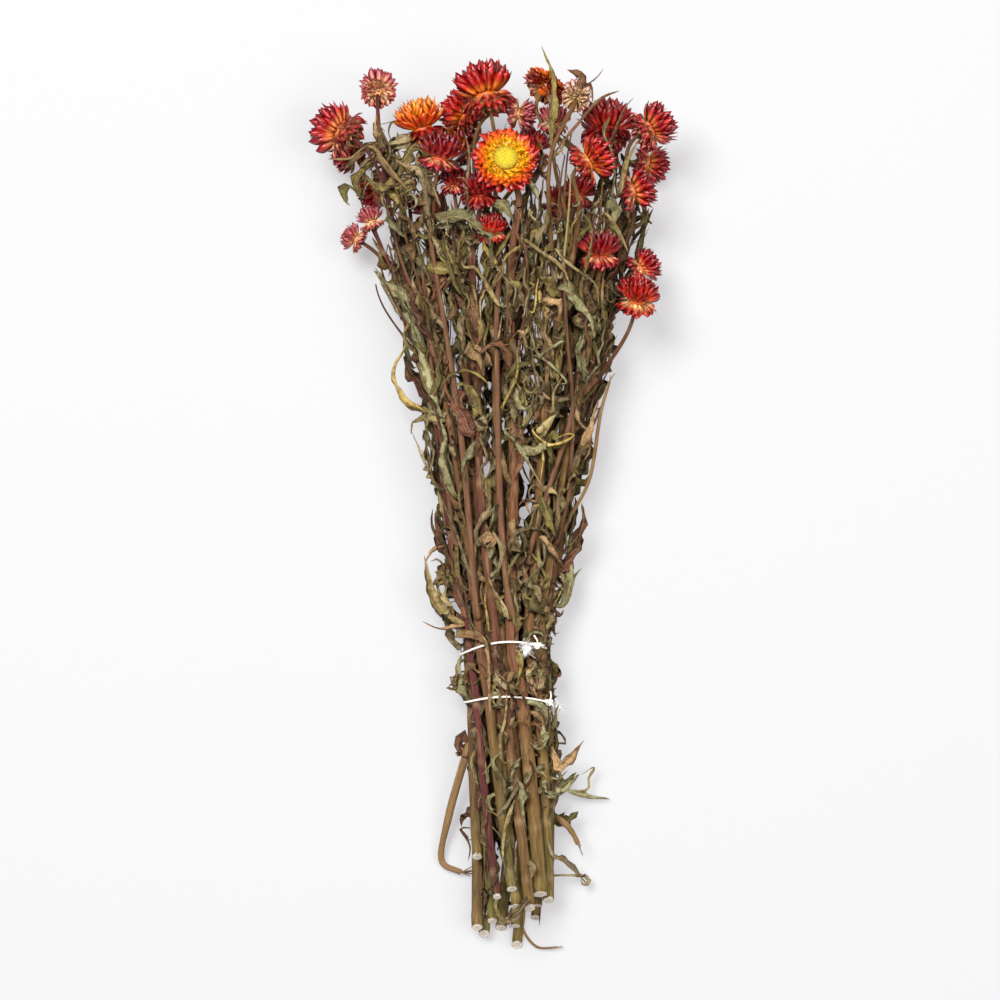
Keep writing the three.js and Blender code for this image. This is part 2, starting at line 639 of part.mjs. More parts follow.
STRAY_LEAVES.forEach((leaf, i) => {
  const draw = seeded(300 + i);
  const manner = { roll: draw(-35, 35), twist: draw(-70, 70), fold: draw(0.2, 0.5) };
  const root = Array.isArray(leaf.from) ? vec(leaf.from) : stemPoint(stems[leaf.stem], leaf.from);
  const solids = LIFTS.map((lift) => {
    const course = leaf.course.map((point) => vec(point).addScaledVector(UP, lift));
    return blade([root, ...course], leaf.half, UP, manner);
  });
  growFirstClear(stemName(leaf.stem), solids);
});

// One leaf of a stem's own: out from the stem on one side, then along it.
function ownLeaf(stem, y, turn, form) {
  const along = stemDirection(stem, y);
  const side = new THREE.Vector3(1, 0, 0).cross(along).normalize();
  const out = side.applyAxisAngle(along, radians(turn * GOLDEN_ANGLE));
  const aside = along.clone().cross(out);
  const root = stemPoint(stem, y);
  const course = LEAF_COURSE.map((share) =>
    root
      .clone()
      .addScaledVector(out, form.reach * Math.sin(LEAF_ARCH * Math.PI * share))
      .addScaledVector(along, form.run * share)
      .addScaledVector(aside, form.curl * share * share),
  );
  return blade(course, form.half, out, form);
}

// A stem's own leaves go round it by the golden angle, each where there is room.
stems.forEach((stem, index) => {
  const draw = seeded(500 + index);
  const last = stem.top - LEAF_END;
  let turn = index;
  for (let y = FIRST_LEAF_Y + draw(0, LEAF_SPACING); y < last; y += LEAF_SPACING + draw(-5, 5)) {
    const form = {
      roll: draw(-50, 50),
      twist: draw(-80, 80),
      fold: draw(0.2, 0.5),
      half: draw(2.2, 4),
      run: draw(24, 46) * (draw(0, 1) < 0.7 ? 1 : -0.8),
      reach: draw(7, 14),
      curl: draw(-8, 8),
    };
    const places = Array.from({ length: LEAF_PLACES }, (_, i) => turn + i);
    growFirstClear(stemName(index), places.map((place) => ownLeaf(stem, y, place, form)));
    turn += LEAF_PLACES;
  }
});

// ---- The bunch ----------------------------------------------------------------------

const FINISHES = {
  leafy_stem: { color: 0x7a6a42, roughness: 0.85, metalness: 0 },
  flower_head: { color: 0xb52a1c, roughness: 0.4, metalness: 0 },
  flower_disc: { color: 0xe8b81e, roughness: 0.8, metalness: 0 },
  string: { color: 0xeeeae0, roughness: 0.8, metalness: 0 },
};

function finishFor(name) {
  const kind = Object.keys(FINISHES).find((key) => name.includes(key));
  return new THREE.MeshStandardMaterial(FINISHES[kind]);
}

function meshOf(name, pieces) {
  const whole = wasm.Manifold.union(pieces).trimByPlane([0, 0, 1], 0);
  const { vertProperties, triVerts } = whole.getMesh();
  const geometry = new THREE.BufferGeometry();
  geometry.setAttribute("position", new THREE.BufferAttribute(vertProperties, 3));
  geometry.setIndex(new THREE.BufferAttribute(triVerts, 1));
  const mesh = new THREE.Mesh(geometry, finishFor(name));
  mesh.name = name;
  return mesh;
}

const bunch = new THREE.Group();
const owners = [...new Set(grown.map((piece) => piece.owner))].sort();
owners.forEach((owner) => {
  const pieces = grown.filter((piece) => piece.owner === owner);
  bunch.add(meshOf(owner, pieces.map((piece) => piece.solid)));
});

export default bunch;
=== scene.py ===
"""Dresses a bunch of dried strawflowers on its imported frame.

The bunch lies on a pale floor, with its heads towards +Y and its cut ends towards -Y.
Lengths are millimetres in this file and metres in Blender's own data. Stems, stalks and
the leaves that the frame holds are worked out again from the same plan as the solids,
and then made fine. The rest of the leaves, the bracts, florets and the twist of the
string are added here.
"""

from __future__ import annotations

import logging
import math
from dataclasses import dataclass, field
from enum import Enum

import bpy
import numpy as np
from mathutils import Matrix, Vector

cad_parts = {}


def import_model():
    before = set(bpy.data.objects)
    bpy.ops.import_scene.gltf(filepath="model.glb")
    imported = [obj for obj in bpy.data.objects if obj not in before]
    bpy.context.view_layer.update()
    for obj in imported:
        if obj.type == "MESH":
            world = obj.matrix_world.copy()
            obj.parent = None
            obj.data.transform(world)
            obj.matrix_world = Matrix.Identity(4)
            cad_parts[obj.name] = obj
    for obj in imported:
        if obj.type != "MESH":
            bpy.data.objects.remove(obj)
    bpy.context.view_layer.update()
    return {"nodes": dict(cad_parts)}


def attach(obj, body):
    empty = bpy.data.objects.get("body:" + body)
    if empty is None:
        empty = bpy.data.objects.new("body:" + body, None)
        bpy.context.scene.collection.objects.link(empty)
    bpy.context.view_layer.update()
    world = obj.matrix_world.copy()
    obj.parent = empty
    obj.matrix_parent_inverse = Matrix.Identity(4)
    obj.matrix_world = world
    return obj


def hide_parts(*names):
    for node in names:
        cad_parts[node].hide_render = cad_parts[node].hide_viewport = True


LOG = logging.getLogger("strawflowers")
Array = np.ndarray
Rng = np.random.Generator
Socket = bpy.types.NodeSocket
Material = bpy.types.Material
Piece = bpy.types.Object

MM = 0.001
CM = 10  # millimetres in a centimetre
UP = np.array([0.0, 0.0, 1.0])
RIGHT = np.array([1.0, 0.0, 0.0])
GOLDEN_ANGLE = 137.5
LOWEST = 0.05  # nothing reaches below this height over the floor


# ---- Numbers, vectors and curves ----


class Draws:
    """The seeded numbers that also place the leaves in the solids."""

    SEED_STEP = 7919
    SEED_START = 12345
    FACTOR = 48271
    PRIME = 2147483647

    def __init__(self, seed: int) -> None:
        """Starts the row of numbers that belongs to a seed.

        Args:
            seed: Which row of numbers.
        """
        self._state = seed * self.SEED_STEP + self.SEED_START
        self(0, 1)
        self(0, 1)

    def __call__(self, low: float, high: float) -> float:
        """Draws the next number, from low to high."""
        self._state = self._state * self.FACTOR % self.PRIME
        return low + self._state / self.PRIME * (high - low)


def rgb(red: float, green: float, blue: float) -> Array:
    """Turns a display colour of 0 to 255 into the three values of linear light."""
    c = np.array([red, green, blue]) / 255
    return np.where(c <= 0.04045, c / 12.92, ((c + 0.055) / 1.055) ** 2.4)


def unit(vectors: Array) -> Array:
    """Scales one vector, or each of many along the last axis, to length one."""
    lengths = np.linalg.norm(vectors, axis=-1, keepdims=True)
    return vectors / np.maximum(lengths, 1e-9)


def turned(vectors: Array, axes: Array, angles: Array | float) -> Array:
    """Turns vectors about unit axes that are square to them, by angles in radians."""
    angle = np.asarray(angles)[..., None]
    return vectors * np.cos(angle) + np.cross(axes, vectors) * np.sin(angle)


def directions(points: Array) -> Array:
    """Finds the unit tangents along a row of points."""
    return unit(np.gradient(points, axis=0))


def distances(points: Array) -> Array:
    """Finds how far along a row of points each of them lies."""
    return np.concatenate([[0], np.cumsum(np.linalg.norm(np.diff(points, axis=0), axis=1))])


def ramp(value: Array | float, start: float, run: float, swing: Array | float = 0.0) -> Array:
    """Rises from 0 to 1 over a run of values from a start, which a swing shifts."""
    return np.clip((value - start - swing) / run, 0, 1)


def carried(tangents: Array, first: Array) -> Array:
    """Carries a crosswise direction along a course without needless turning.

    Args:
        tangents: The course's unit tangents.
        first: The direction to start from.

    Returns:
        One unit direction a tangent, each square to it.
    """
    rows = []
    across = first
    for tangent in tangents:
        across = unit(across - tangent * across.dot(tangent))
        rows.append(across)
    return np.array(rows)


def hermite(a: Array, b: Array, leave: Array, arrive: Array, share: Array) -> Array:
    """Blends from a to b with given tangents at both.

    Args:
        a: The first point.
        b: The last point.
        leave: The tangent at the first.
        arrive: The tangent at the last.
        share: How far along, from 0 to 1.

    Returns:
        The points.
    """
    return (
        a
        + leave * share
        + (3 * (b - a) - 2 * leave - arrive) * share**2
        + (2 * (a - b) + leave + arrive) * share**3
    )


def flowing(points: Array, shares: Array, even: bool = True) -> Array:
    """Runs a Catmull-Rom curve through points.

    Args:
        points: The points it goes through.
        shares: Where to sample it, from 0 to 1.
        even: False where the points lie at very uneven distances.

    Returns:
        The sampled points.
    """
    last = len(points) - 1
    at = np.clip(shares, 0, 1) * last
    start = np.minimum(at.astype(int), last - 1)
    share = (at - start)[:, None]
    padded = np.vstack([2 * points[0] - points[1], points, 2 * points[-1] - points[-2]])
    before, a, b, after = (padded[start + k] for k in range(4))
    if even:
        return hermite(a, b, (b - before) / 2, (after - a) / 2, share)
    gaps = np.sqrt(np.linalg.norm(np.diff(padded, axis=0), axis=1))
    first, middle, second = (gaps[start + k][:, None] for k in range(3))
    leave = (a - before) / first - (b - before) / (first + middle) + (b - a) / middle
    arrive = (b - a) / middle - (after - a) / (middle + second) + (after - b) / second
    return hermite(a, b, leave * middle, arrive * middle, share)


def bezier(points: list[Array], shares: Array) -> Array:
    """Samples a Bezier curve of three or four points.

    Args:
        points: Its control points.
        shares: How far along, from 0 to 1.

    Returns:
        The points.
    """
    t = shares[:, None]
    degree = len(points) - 1
    parts = [
        math.comb(degree, k) * (1 - t) ** (degree - k) * t**k * point
        for k, point in enumerate(points)
    ]
    return sum(parts)


def drifting(rng: Rng, rows: int, columns: int, knots: int) -> Array:
    """Makes random numbers that drift from row to row.

    Args:
        rng: Where they are drawn from.
        rows: How many rows.
        columns: How many columns, each with a drift of its own.
        knots: How many turning points a drift has.

    Returns:
        Numbers from -1 to 1.
    """
    values = rng.uniform(-1, 1, (knots, columns))
    at = np.linspace(0, knots - 1, rows)
    return np.stack([np.interp(at, np.arange(knots), column) for column in values.T], axis=-1)


# ---- The plan of the bunch ----


class Part(Enum):
    """What a column of the bunch's form holds."""

    MIDDLE = 1
    ACROSS = 2
    UPWARD = 3
    TWIST = 4


@dataclass(frozen=True)
class BunchForm:
    """The form that all stems follow: a twisted sheaf that is tied at its waist.

    Each station is a place along the bunch, and there the middle's x, the spread across
    and upward beside the waist's, and the twist in degrees.
    """

    clearance: float = 0.3
    waist_y: float = -92.0
    waist_radius: float = 24.3
    string_radius: float = 0.8
    sag: float = 3.4
    sag_reach: float = 80.0
    rise_per_spread: float = 22.7
    tightest_spread: float = 0.93
    rounding: float = 0.1
    floor_gap: float = 0.5
    stations: tuple[tuple[float, ...], ...] = (
        (-250, 12, 0.94, 0.94, -50),
        (-112, 10.5, 1, 1, -6),
        (-72, 7.5, 1, 1, 3),
        (-30, 7.5, 1.35, 1.07, 7),
        (41, 8.5, 1.9, 1.25, 10),
        (113, 11, 2.55, 1.45, 12),
        (165, 13, 3.15, 1.65, 12),
    )

    def at(self, y: Array, part: Part) -> Array:
        """Reads a part of the form on a curve that never overshoots its stations.

        Args:
            y: Places along the bunch.
            part: Which part of the form.

        Returns:
            Its value at each place.
        """
        table = np.array(self.stations, float)
        ys, values = table[:, 0], table[:, part.value]
        slopes = np.diff(values) / np.diff(ys)
        before, after = slopes[:-1], slopes[1:]
        both = np.where(before + after == 0, 1, before + after)
        inner = np.where(before * after <= 0, 0, 2 * before * after / both)
        tangents = np.concatenate([slopes[:1], inner, slopes[-1:]])
        at = np.clip(y, ys[0], ys[-1])
        i = np.clip(np.searchsorted(ys, at, side="left") - 1, 0, len(ys) - 2)
        run = ys[i + 1] - ys[i]
        share = (at - ys[i]) / run
        return hermite(values[i], values[i + 1], tangents[i] * run, tangents[i + 1] * run, share)

    def middle_height(self, y: Array) -> Array:
        """Finds how high the middle of the bunch lies.

        Args:
            y: Places along the bunch.

        Returns:
            The heights.
        """
        share = np.clip(np.abs(y - self.waist_y) / self.sag_reach, 0, 1)
        sag = self.sag * share**2 * (3 - 2 * share)
        waist = self.waist_radius + 2 * self.string_radius + self.floor_gap
        return waist + (self.at(y, Part.UPWARD) - 1) * self.rise_per_spread - sag


FORM = BunchForm()


@dataclass(frozen=True)
class Stem:
    """One stem, by its place in the tied waist, its cut end and where its stalk begins."""

    index: int
    u: float
    v: float
    radius: float
    cut: float
    top: float
    taper: float = 0.0019
    flat: float = 0.7
    waver: float = 1.6
    waver_length: float = 31.0
    waver_upward: float = 0.6
    waver_length_upward: float = 23.0
    waver_step: float = 2.4

    @property
    def node(self) -> str:
        """The name of the stem's solid."""
        return f"leafy_stem_{self.index + 1:02d}"

    def radius_at(self, y: Array) -> Array:
        """Finds the stem's radius, which tapers above the waist."""
        return self.radius * (1 - self.taper * np.maximum(0, y - FORM.waist_y))

    def centre(self, y: Array) -> Array:
        """Finds the middle of the stem.

        Args:
            y: Places along the bunch.

        Returns:
            A point for each.
        """
        y = np.asarray(y, float)
        across = FORM.at(y, Part.ACROSS)
        twist = np.radians(FORM.at(y, Part.TWIST))
        u = self.u * np.cos(twist) - self.v * np.sin(twist)
        v = self.u * np.sin(twist) + self.v * np.cos(twist)
        waver = self.waver * (across - 1)
        phase = self.waver_step * self.index
        sideways = waver * np.sin(y / self.waver_length + phase)
        upward = waver * self.waver_upward * np.sin(y / self.waver_length_upward + 2 * phase)
        x = FORM.at(y, Part.MIDDLE) + across * u + sideways
        z = FORM.middle_height(y) + FORM.at(y, Part.UPWARD) * v + upward
        lowest = self.flat * self.radius_at(y)
        return np.stack([x, y, np.maximum(z, lowest)], axis=-1)

    def direction(self, y: float) -> Array:
        """Finds which way the stem runs at one place."""
        return unit(self.centre(y + 1) - self.centre(y - 1))


# Outer stems round the waist: place in degrees, radius, cut end and top of the stem.
OUTER_STEMS = (
    (153, 2.2, -217, 158),
    (128, 2.9, -213, 160),
    (103, 3.0, -224, 130),
    (76, 3.9, -217, 165),
    (48, 3.0, -221, 160),
    (21, 2.6, -210, 110),
    (-7, 2.8, -232, 150),
    (-35, 3.0, -247, 160),
    (-64, 3.0, -238, 135),
    (-97, 3.0, -241, 150),
    (-129, 3.0, -236, 135),
    (-169, 2.8, -196, 140),
)
# Inner stems: the outer stem each leans on, its turn, radius, cut end and top.
INNER_STEMS = (
    (1, 12, 2.6, -223, 150),
    (3, -42, 2.6, -205, 110),
    (5, 40, 2.6, -224, 165),
    (7, 8, 2.6, -236, 140),
    (9, 40, 2.6, -228, 160),
    (11, 40, 2.6, -231, 165),
)


def all_stems() -> list[Stem]:
    """Places the stems in the tied waist.

    Returns:
        The outer stems, then the inner ones.
    """
    stems = []
    for at, radius, cut, top in OUTER_STEMS:
        reach = FORM.waist_radius - radius - FORM.clearance
        angle = math.radians(at)
        u, v = reach * math.cos(angle), reach * math.sin(angle)
        stems.append(Stem(len(stems), u, v, radius, cut, top))
    for host, turn, radius, cut, top in INNER_STEMS:
        on = stems[host]
        gap = (on.radius + radius + FORM.clearance + FORM.rounding) / FORM.tightest_spread
        inward = math.atan2(on.v, on.u) + math.radians(turn)
        u, v = on.u - gap * math.cos(inward), on.v - gap * math.sin(inward)
        stems.append(Stem(len(stems), u, v, radius, cut, top))
    return stems


@dataclass(frozen=True, eq=False)
class BractColours:
    """The colours of a head.

    The crown's bracts run from the girdle to the inner or outer colour and then to the
    tip. The skirt's run from the hem to the under colour and then to the tip.
    """

    slot: str
    girdle: Array
    inner: Array
    outer: Array
    tip: Array
    hem: Array
    under: Array
    hem_reach: float = 0.2


class Palette(Enum):
    """The colourings of the heads: girdle, inner, outer and tip, then hem and under."""

    RED = BractColours(
        "bract_red",
        rgb(246, 150, 82), rgb(188, 16, 20), rgb(174, 10, 26), rgb(116, 4, 26),
        rgb(255, 210, 164), rgb(186, 36, 44), hem_reach=0.34,
    )
    SCARLET = BractColours(
        "bract_red",
        rgb(252, 144, 46), rgb(208, 38, 14), rgb(190, 20, 18), rgb(136, 6, 22),
        rgb(252, 198, 132), rgb(198, 44, 36), hem_reach=0.28,
    )
    CRIMSON = BractColours(
        "bract_crimson",
        rgb(238, 118, 60), rgb(162, 6, 22), rgb(150, 8, 28), rgb(98, 3, 26),
        rgb(248, 172, 124), rgb(168, 18, 40), hem_reach=0.26,
    )
    DARK = BractColours(
        "bract_crimson",
        rgb(190, 40, 18), rgb(160, 8, 12), rgb(144, 6, 16), rgb(98, 2, 14),
        rgb(190, 70, 40), rgb(132, 8, 22),
    )
    GOLD = BractColours(
        "bract_orange",
        rgb(240, 120, 14), rgb(255, 190, 30), rgb(216, 62, 14), rgb(250, 146, 16),
        rgb(160, 30, 20), rgb(112, 6, 18),
    )
    SUNNY = BractColours(
        "bract_orange",
        rgb(255, 196, 14), rgb(255, 194, 6), rgb(255, 112, 6), rgb(202, 14, 8),
        rgb(214, 60, 16), rgb(172, 18, 18),
    )
    PINK = BractColours(
        "bract_pink",
        rgb(248, 190, 126), rgb(198, 104, 108), rgb(192, 98, 106), rgb(142, 34, 58),
        rgb(246, 208, 156), rgb(206, 90, 92), hem_reach=0.42,
    )
    BLUSH = BractColours(
        "bract_pink",
        rgb(238, 222, 160), rgb(242, 198, 188), rgb(244, 206, 194), rgb(206, 84, 104),
        rgb(222, 206, 150), rgb(238, 200, 180), hem_reach=0.55,
    )


CALYX = rgb(176, 132, 84)  # the lowest row of bracts, by the stalk


@dataclass(frozen=True)
class HeadPlan:
    """Where a head sits, how wide it is, which way it looks, and the stem that bears it."""

    index: int
    mid: Array
    across: float
    heading: float
    rise: float
    stem: int
    palette: Palette
    start: float | None = None
    via: Array | None = None
    is_open: bool = False

    @property
    def radius(self) -> float:
        """Half the head's width."""
        return self.across / 2

    @property
    def axis(self) -> Array:
        """The way the head looks.

        Returns:
            A unit vector.
        """
        rise, heading = math.radians(self.rise), math.radians(self.heading)
        flat = math.cos(rise)
        return np.array([math.sin(heading) * flat, math.cos(heading) * flat, math.sin(rise)])

    @property
    def turn(self) -> Array:
        """The matrix that turns +Z to the head's axis."""
        return np.array(Vector((0, 0, 1)).rotation_difference(Vector(self.axis)).to_matrix())


# Heads: middle, width, heading and rise in degrees, stem, colours, and for a head on a
# side shoot the y where that shoot leaves.
RED, SCARLET, CRIMSON, DARK, GOLD, SUNNY, PINK, BLUSH = Palette
HEADS = (
    ((-62, 226.5, 58), 23, 0, -50, 0, PINK, {}),
    ((-82.5, 204.5, 45), 33, -60, -20, 0, RED, {"start": 135}),
    ((-77, 195, 22), 24, -110, 0, 11, CRIMSON, {}),
    ((-38, 206.5, 50), 33, -15, 5, 1, GOLD, {}),
    ((-28, 189, 72), 27, 10, 15, 1, CRIMSON, {"start": 140}),
    ((-64, 176, 10.9), 24, -120, -10, 11, RED, {"start": 115}),
    ((-3, 223, 66), 36.5, -15, -8, 13, SCARLET, {}),
    ((-14, 215, 38), 29, -50, -10, 17, SCARLET, {}),
    ((7.5, 186.5, 86), 39, 20, 80, 3, SUNNY, {"is_open": True}),
    ((-16, 200, 16), 26, -70, 0, 17, GOLD, {"start": 130}),
    ((15, 214, 54), 20, 100, 0, 13, PINK, {"start": 106}),
    ((30, 229, 52), 30, 35, -20, 14, GOLD, {"is_open": True}),
    ((46, 222, 70), 19, 10, -60, 4, BLUSH, {"start": 100, "via": (32, 188, 82)}),
    ((34, 208, 66), 20, 5, 10, 4, PINK, {"start": 135}),
    ((53, 187, 68), 30, 60, 0, 4, SCARLET, {}),
    ((63.5, 206, 40), 34, 0, -20, 15, DARK, {}),
    ((86.5, 205.5, 56), 29, 60, -10, 6, RED, {}),
    ((87, 190, 10.6), 24, 100, -10, 7, RED, {}),
    ((77.5, 171.5, 58), 26, 75, -5, 6, RED, {"start": 115}),
    ((59, 136.5, 62), 27, 0, 15, 5, CRIMSON, {}),
    ((82.5, 130.5, 37), 22, 60, 0, 6, RED, {"start": 85}),
    ((79.5, 112, 53), 27, 10, 20, 6, SCARLET, {"start": 55}),
    ((-20, 175, 60), 19, 0, 20, 12, CRIMSON, {}),
    ((-6.5, 169, 75), 25, 0, 20, 2, DARK, {}),
    ((0, 148.5, 71.5), 20, 0, 20, 2, SCARLET, {"start": 95}),
    ((-66, 156, 40), 17, -20, 0, 0, PINK, {"start": 95}),
    ((-75, 147, 27), 17, -60, 0, 11, PINK, {"start": 85}),
    ((48, 171, 38), 22, 20, 10, 15, CRIMSON, {"start": 115}),
    ((38, 166, 13), 24, 20, -10, 8, RED, {}),
    ((14, 184, 13), 24, 0, -10, 9, RED, {}),
    ((-34, 163, 13), 24, -20, -10, 10, RED, {}),
    ((22, 196, 34), 24, 10, 0, 16, RED, {}),
)


def all_heads() -> list[HeadPlan]:
    """Makes the plan of every head from the table.

    Returns:
        The plans, in the order of the solids' names.
    """
    plans = []
    for mid, across, heading, rise, stem, palette, more in HEADS:
        point = np.array(mid, float)
        plan = HeadPlan(len(plans), point, across, heading, rise, stem, palette, **more)
        plans.append(plan)
    return plans


@dataclass(frozen=True)
class Stalk:
    """The stalk of a head, from its stem to just short of the head's base."""

    head: HeadPlan
    stem: Stem
    end_radius: float = 1.0
    handle: float = 0.36
    leader_lead: float = 0.8
    shoot_lead: float = 0.4
    shoot_radius: float = 0.6
    base: float = 0.4

    @property
    def start(self) -> float:
        """Where along the bunch the stalk leaves its stem."""
        return self.stem.top if self.head.start is None else self.head.start

    @property
    def root_radius(self) -> float:
        """The stalk's radius where it leaves."""
        share = 1 if self.head.start is None else self.shoot_radius
        return share * float(self.stem.radius_at(self.start))

    def points(self, steps: int) -> Array:
        """Samples the stalk's middle line.

        Args:
            steps: How many steps it takes.

        Returns:
            One point more than there are steps.
        """
        head, axis = self.head, self.head.axis
        shares = np.linspace(0, 1, steps + 1)
        root = self.stem.centre(self.start)
        to = head.mid - axis * (self.base * head.radius + FORM.clearance)
        if head.via is not None:
            course = [root, np.array(head.via, float), to - axis * head.across / 3, to]
            return flowing(np.array(course), shares, even=False)
        handle = self.handle * float(np.linalg.norm(to - root))
        lead = self.leader_lead if head.start is None else self.shoot_lead
        leaving = unit(to - root) * (1 - lead) + self.stem.direction(self.start) * lead
        return bezier([root, root + leaving * handle, to - axis * handle, to], shares)


# ---- Meshes ----


class Mould:
    """Collects closed pieces of surface, with what their finishes need to know."""

    def __init__(self) -> None:
        """Starts an empty mould."""
        self._points: list[Array] = []
        self._tints: list[Array] = []
        self._places: list[Array] = []
        self._faces: list[tuple[Array, int]] = []
        self._count = 0

    def add(
        self, points: Array, faces: list[Array], tint: Array, place: Array, finish: int = 0
    ) -> None:
        """Adds surface.

        Args:
            points: The points, in millimetres, in an array of any shape that ends in 3.
            faces: Arrays of triangles and quads, as numbers of the points.
            tint: The colour and shade of each point, or one for all.
            place: Where each point is on its leaf, bract or stem.
            finish: The number of the material.
        """
        flat = points.reshape(-1, 3)
        total = len(flat)
        self._points.append(flat)
        self._tints.append(np.broadcast_to(tint, (*points.shape[:-1], 4)).reshape(total, 4))
        self._places.append(np.broadcast_to(place, points.shape).reshape(total, 3))
        self._faces.extend((array + self._count, finish) for array in faces)
        self._count += total

    def cast(self, name: str, finishes: list[Material]) -> Piece:
        """Makes the object.

        Args:
            name: The piece's name.
            finishes: Its materials.

        Returns:
            The object, linked to the scene.
        """
        points = np.concatenate(self._points) * MM
        points[:, 2] = np.maximum(points[:, 2], LOWEST * MM)
        corners = np.concatenate([faces.ravel() for faces, _ in self._faces])
        sizes = np.concatenate([np.full(len(faces), faces.shape[1]) for faces, _ in self._faces])
        numbers = np.concatenate([np.full(len(faces), finish) for faces, finish in self._faces])
        mesh = bpy.data.meshes.new(name)
        mesh.vertices.add(len(points))
        mesh.vertices.foreach_set("co", points.ravel())
        mesh.loops.add(len(corners))
        mesh.loops.foreach_set("vertex_index", corners)
        mesh.polygons.add(len(sizes))
        mesh.polygons.foreach_set("loop_start", np.cumsum(sizes) - sizes)
        mesh.polygons.foreach_set("material_index", numbers)
        mesh.update(calc_edges=True)
        mesh.shade_smooth()
        tints = mesh.attributes.new("tint", "FLOAT_COLOR", "POINT")
        tints.data.foreach_set("color", np.concatenate(self._tints).ravel())
        places = mesh.attributes.new("place", "FLOAT_VECTOR", "POINT")
        places.data.foreach_set("vector", np.concatenate(self._places).ravel())
        for finish in finishes:
            mesh.materials.append(finish)
        piece = bpy.data.objects.new(name, mesh)
        bpy.context.collection.objects.link(piece)
        return piece


def sleeve(rows: int, sides: int) -> Array:
    """Numbers the quads of a sleeve of rings.

    Args:
        rows: How many rings.
        sides: How many points a ring has.

    Returns:
        The quads, facing out where each ring turns about the sleeve's direction.
    """
    i, k = np.meshgrid(np.arange(rows - 1), np.arange(sides), indexing="ij")
    after = (k + 1) % sides
    quads = [i * sides + k, i * sides + after, (i + 1) * sides + after, (i + 1) * sides + k]
    return np.stack(quads, axis=-1).reshape(-1, 4)


def lid(first: int, sides: int, outward: bool) -> Array:
    """Numbers the triangles that close a ring, outward at the far end of a sleeve.

    Args:
        first: The number of the ring's first point.
        sides: How many points the ring has.
        outward: True at the far end of a sleeve.

    Returns:
        The triangles.
    """
    s = np.arange(1, sides - 1)
    fan = np.stack([np.zeros_like(s), s, s + 1], axis=-1) + first
    return fan if outward else fan[:, ::-1]


def skin(rows: int, sides: int, inward: bool = False) -> list[Array]:
    """Numbers the faces of a closed sleeve.

    Args:
        rows: How many rings.
        sides: How many points a ring has.
        inward: True where the rings turn against the sleeve's direction.

    Returns:
        The quads, the near lid and the far lid.
    """
    last = (rows - 1) * sides
    faces = [sleeve(rows, sides), lid(0, sides, False), lid(last, sides, True)]
    return [array[:, ::-1] for array in faces] if inward else faces


def shaded(colour: Array, shade: float) -> Array:
    """Joins a colour and a shade number into one tint."""
    return np.append(colour, shade)


@dataclass(frozen=True)
class Tube:
    """A round stem, stalk or thread along points."""

    points: Array
    radii: Array
    sides: int = 8
    ribs: int = 0
    rib_depth: float = 0.07
    cut_slant: float = 0.0
    steepest: float = 0.9

    def pour(self, mould: Mould, tint: Array, finish: int = 0) -> Array:
        """Adds the tube to a mould.

        Args:
            mould: What it is added to.
            tint: The tint of each ring, or one for all.
            finish: The number of the material.

        Returns:
            The first ring, for a cut face.
        """
        tangents = directions(self.points)
        across = carried(tangents, UP if abs(tangents[0][2]) < self.steepest else RIGHT)
        other = np.cross(tangents, across)
        angle = np.arange(self.sides) * 2 * math.pi / self.sides
        ribbed = 1 + self.rib_depth * np.cos(self.ribs * angle) * (self.ribs > 0)
        radii = self.radii[:, None] * ribbed
        rings = (
            self.points[:, None]
            + across[:, None] * (radii * np.cos(angle))[..., None]
            + other[:, None] * (radii * np.sin(angle))[..., None]
        )
        slope = (rings[0] - self.points[0]) @ UP + self.radii[0]
        rings[0] += tangents[0] * (self.cut_slant * slope)[:, None]
        along = distances(self.points)[:, None] / CM
        place = np.stack(np.broadcast_arrays(np.cos(angle), np.sin(angle), along), axis=-1)
        faces = skin(len(self.points), self.sides)
        mould.add(rings, faces, tint if tint.ndim == 1 else tint[:, None], place, finish)
        return rings[0]


class Hue(Enum):
    """Colours of dried leaves: the two that each leaf shades between."""

    OLIVE = ((142, 126, 67), (99, 84, 43))
    KHAKI = ((178, 160, 110), (132, 113, 70))
    SAGE = ((150, 146, 106), (106, 100, 66))
    MOSS = ((115, 105, 51), (80, 71, 35))
    UMBER = ((117, 75, 50), (75, 47, 32))
    RUSSET = ((122, 74, 53), (87, 50, 38))
    TAN = ((177, 142, 100), (131, 100, 67))
    STRAW = ((199, 172, 99), (151, 126, 62))
    GREY = ((148, 130, 96), (105, 90, 62))
    DUN = ((131, 104, 67), (91, 68, 42))


@dataclass(frozen=True)
class Shrivelling:
    """How far a leaf is folded, curled, crumpled, waved, wrung to and fro, and torn."""

    fold: float
    curl: float
    crumple: float
    wave: float
    wring: float
    tear: float


class Habit(Enum):
    """How a dried leaf has shrivelled."""

    FLAT = Shrivelling(0.25, 0.6, 0.22, 0.16, 0.4, 0.25)
    RIPPLED = Shrivelling(0.4, 1.0, 0.42, 0.4, 0.7, 0.35)
    ROLLED = Shrivelling(0.6, 2.0, 0.24, 0.14, 0.6, 0.3)
    CRUMPLED = Shrivelling(0.5, 1.3, 0.85, 0.5, 1.1, 0.5)


# The names that the tables of leaves use.
OLIVE, KHAKI, SAGE, MOSS, UMBER, RUSSET, TAN, STRAW, GREY, DUN = Hue
FLAT, RIPPLED, ROLLED, CRUMPLED = Habit
CURLED_HABITS = (RIPPLED, ROLLED, CRUMPLED)


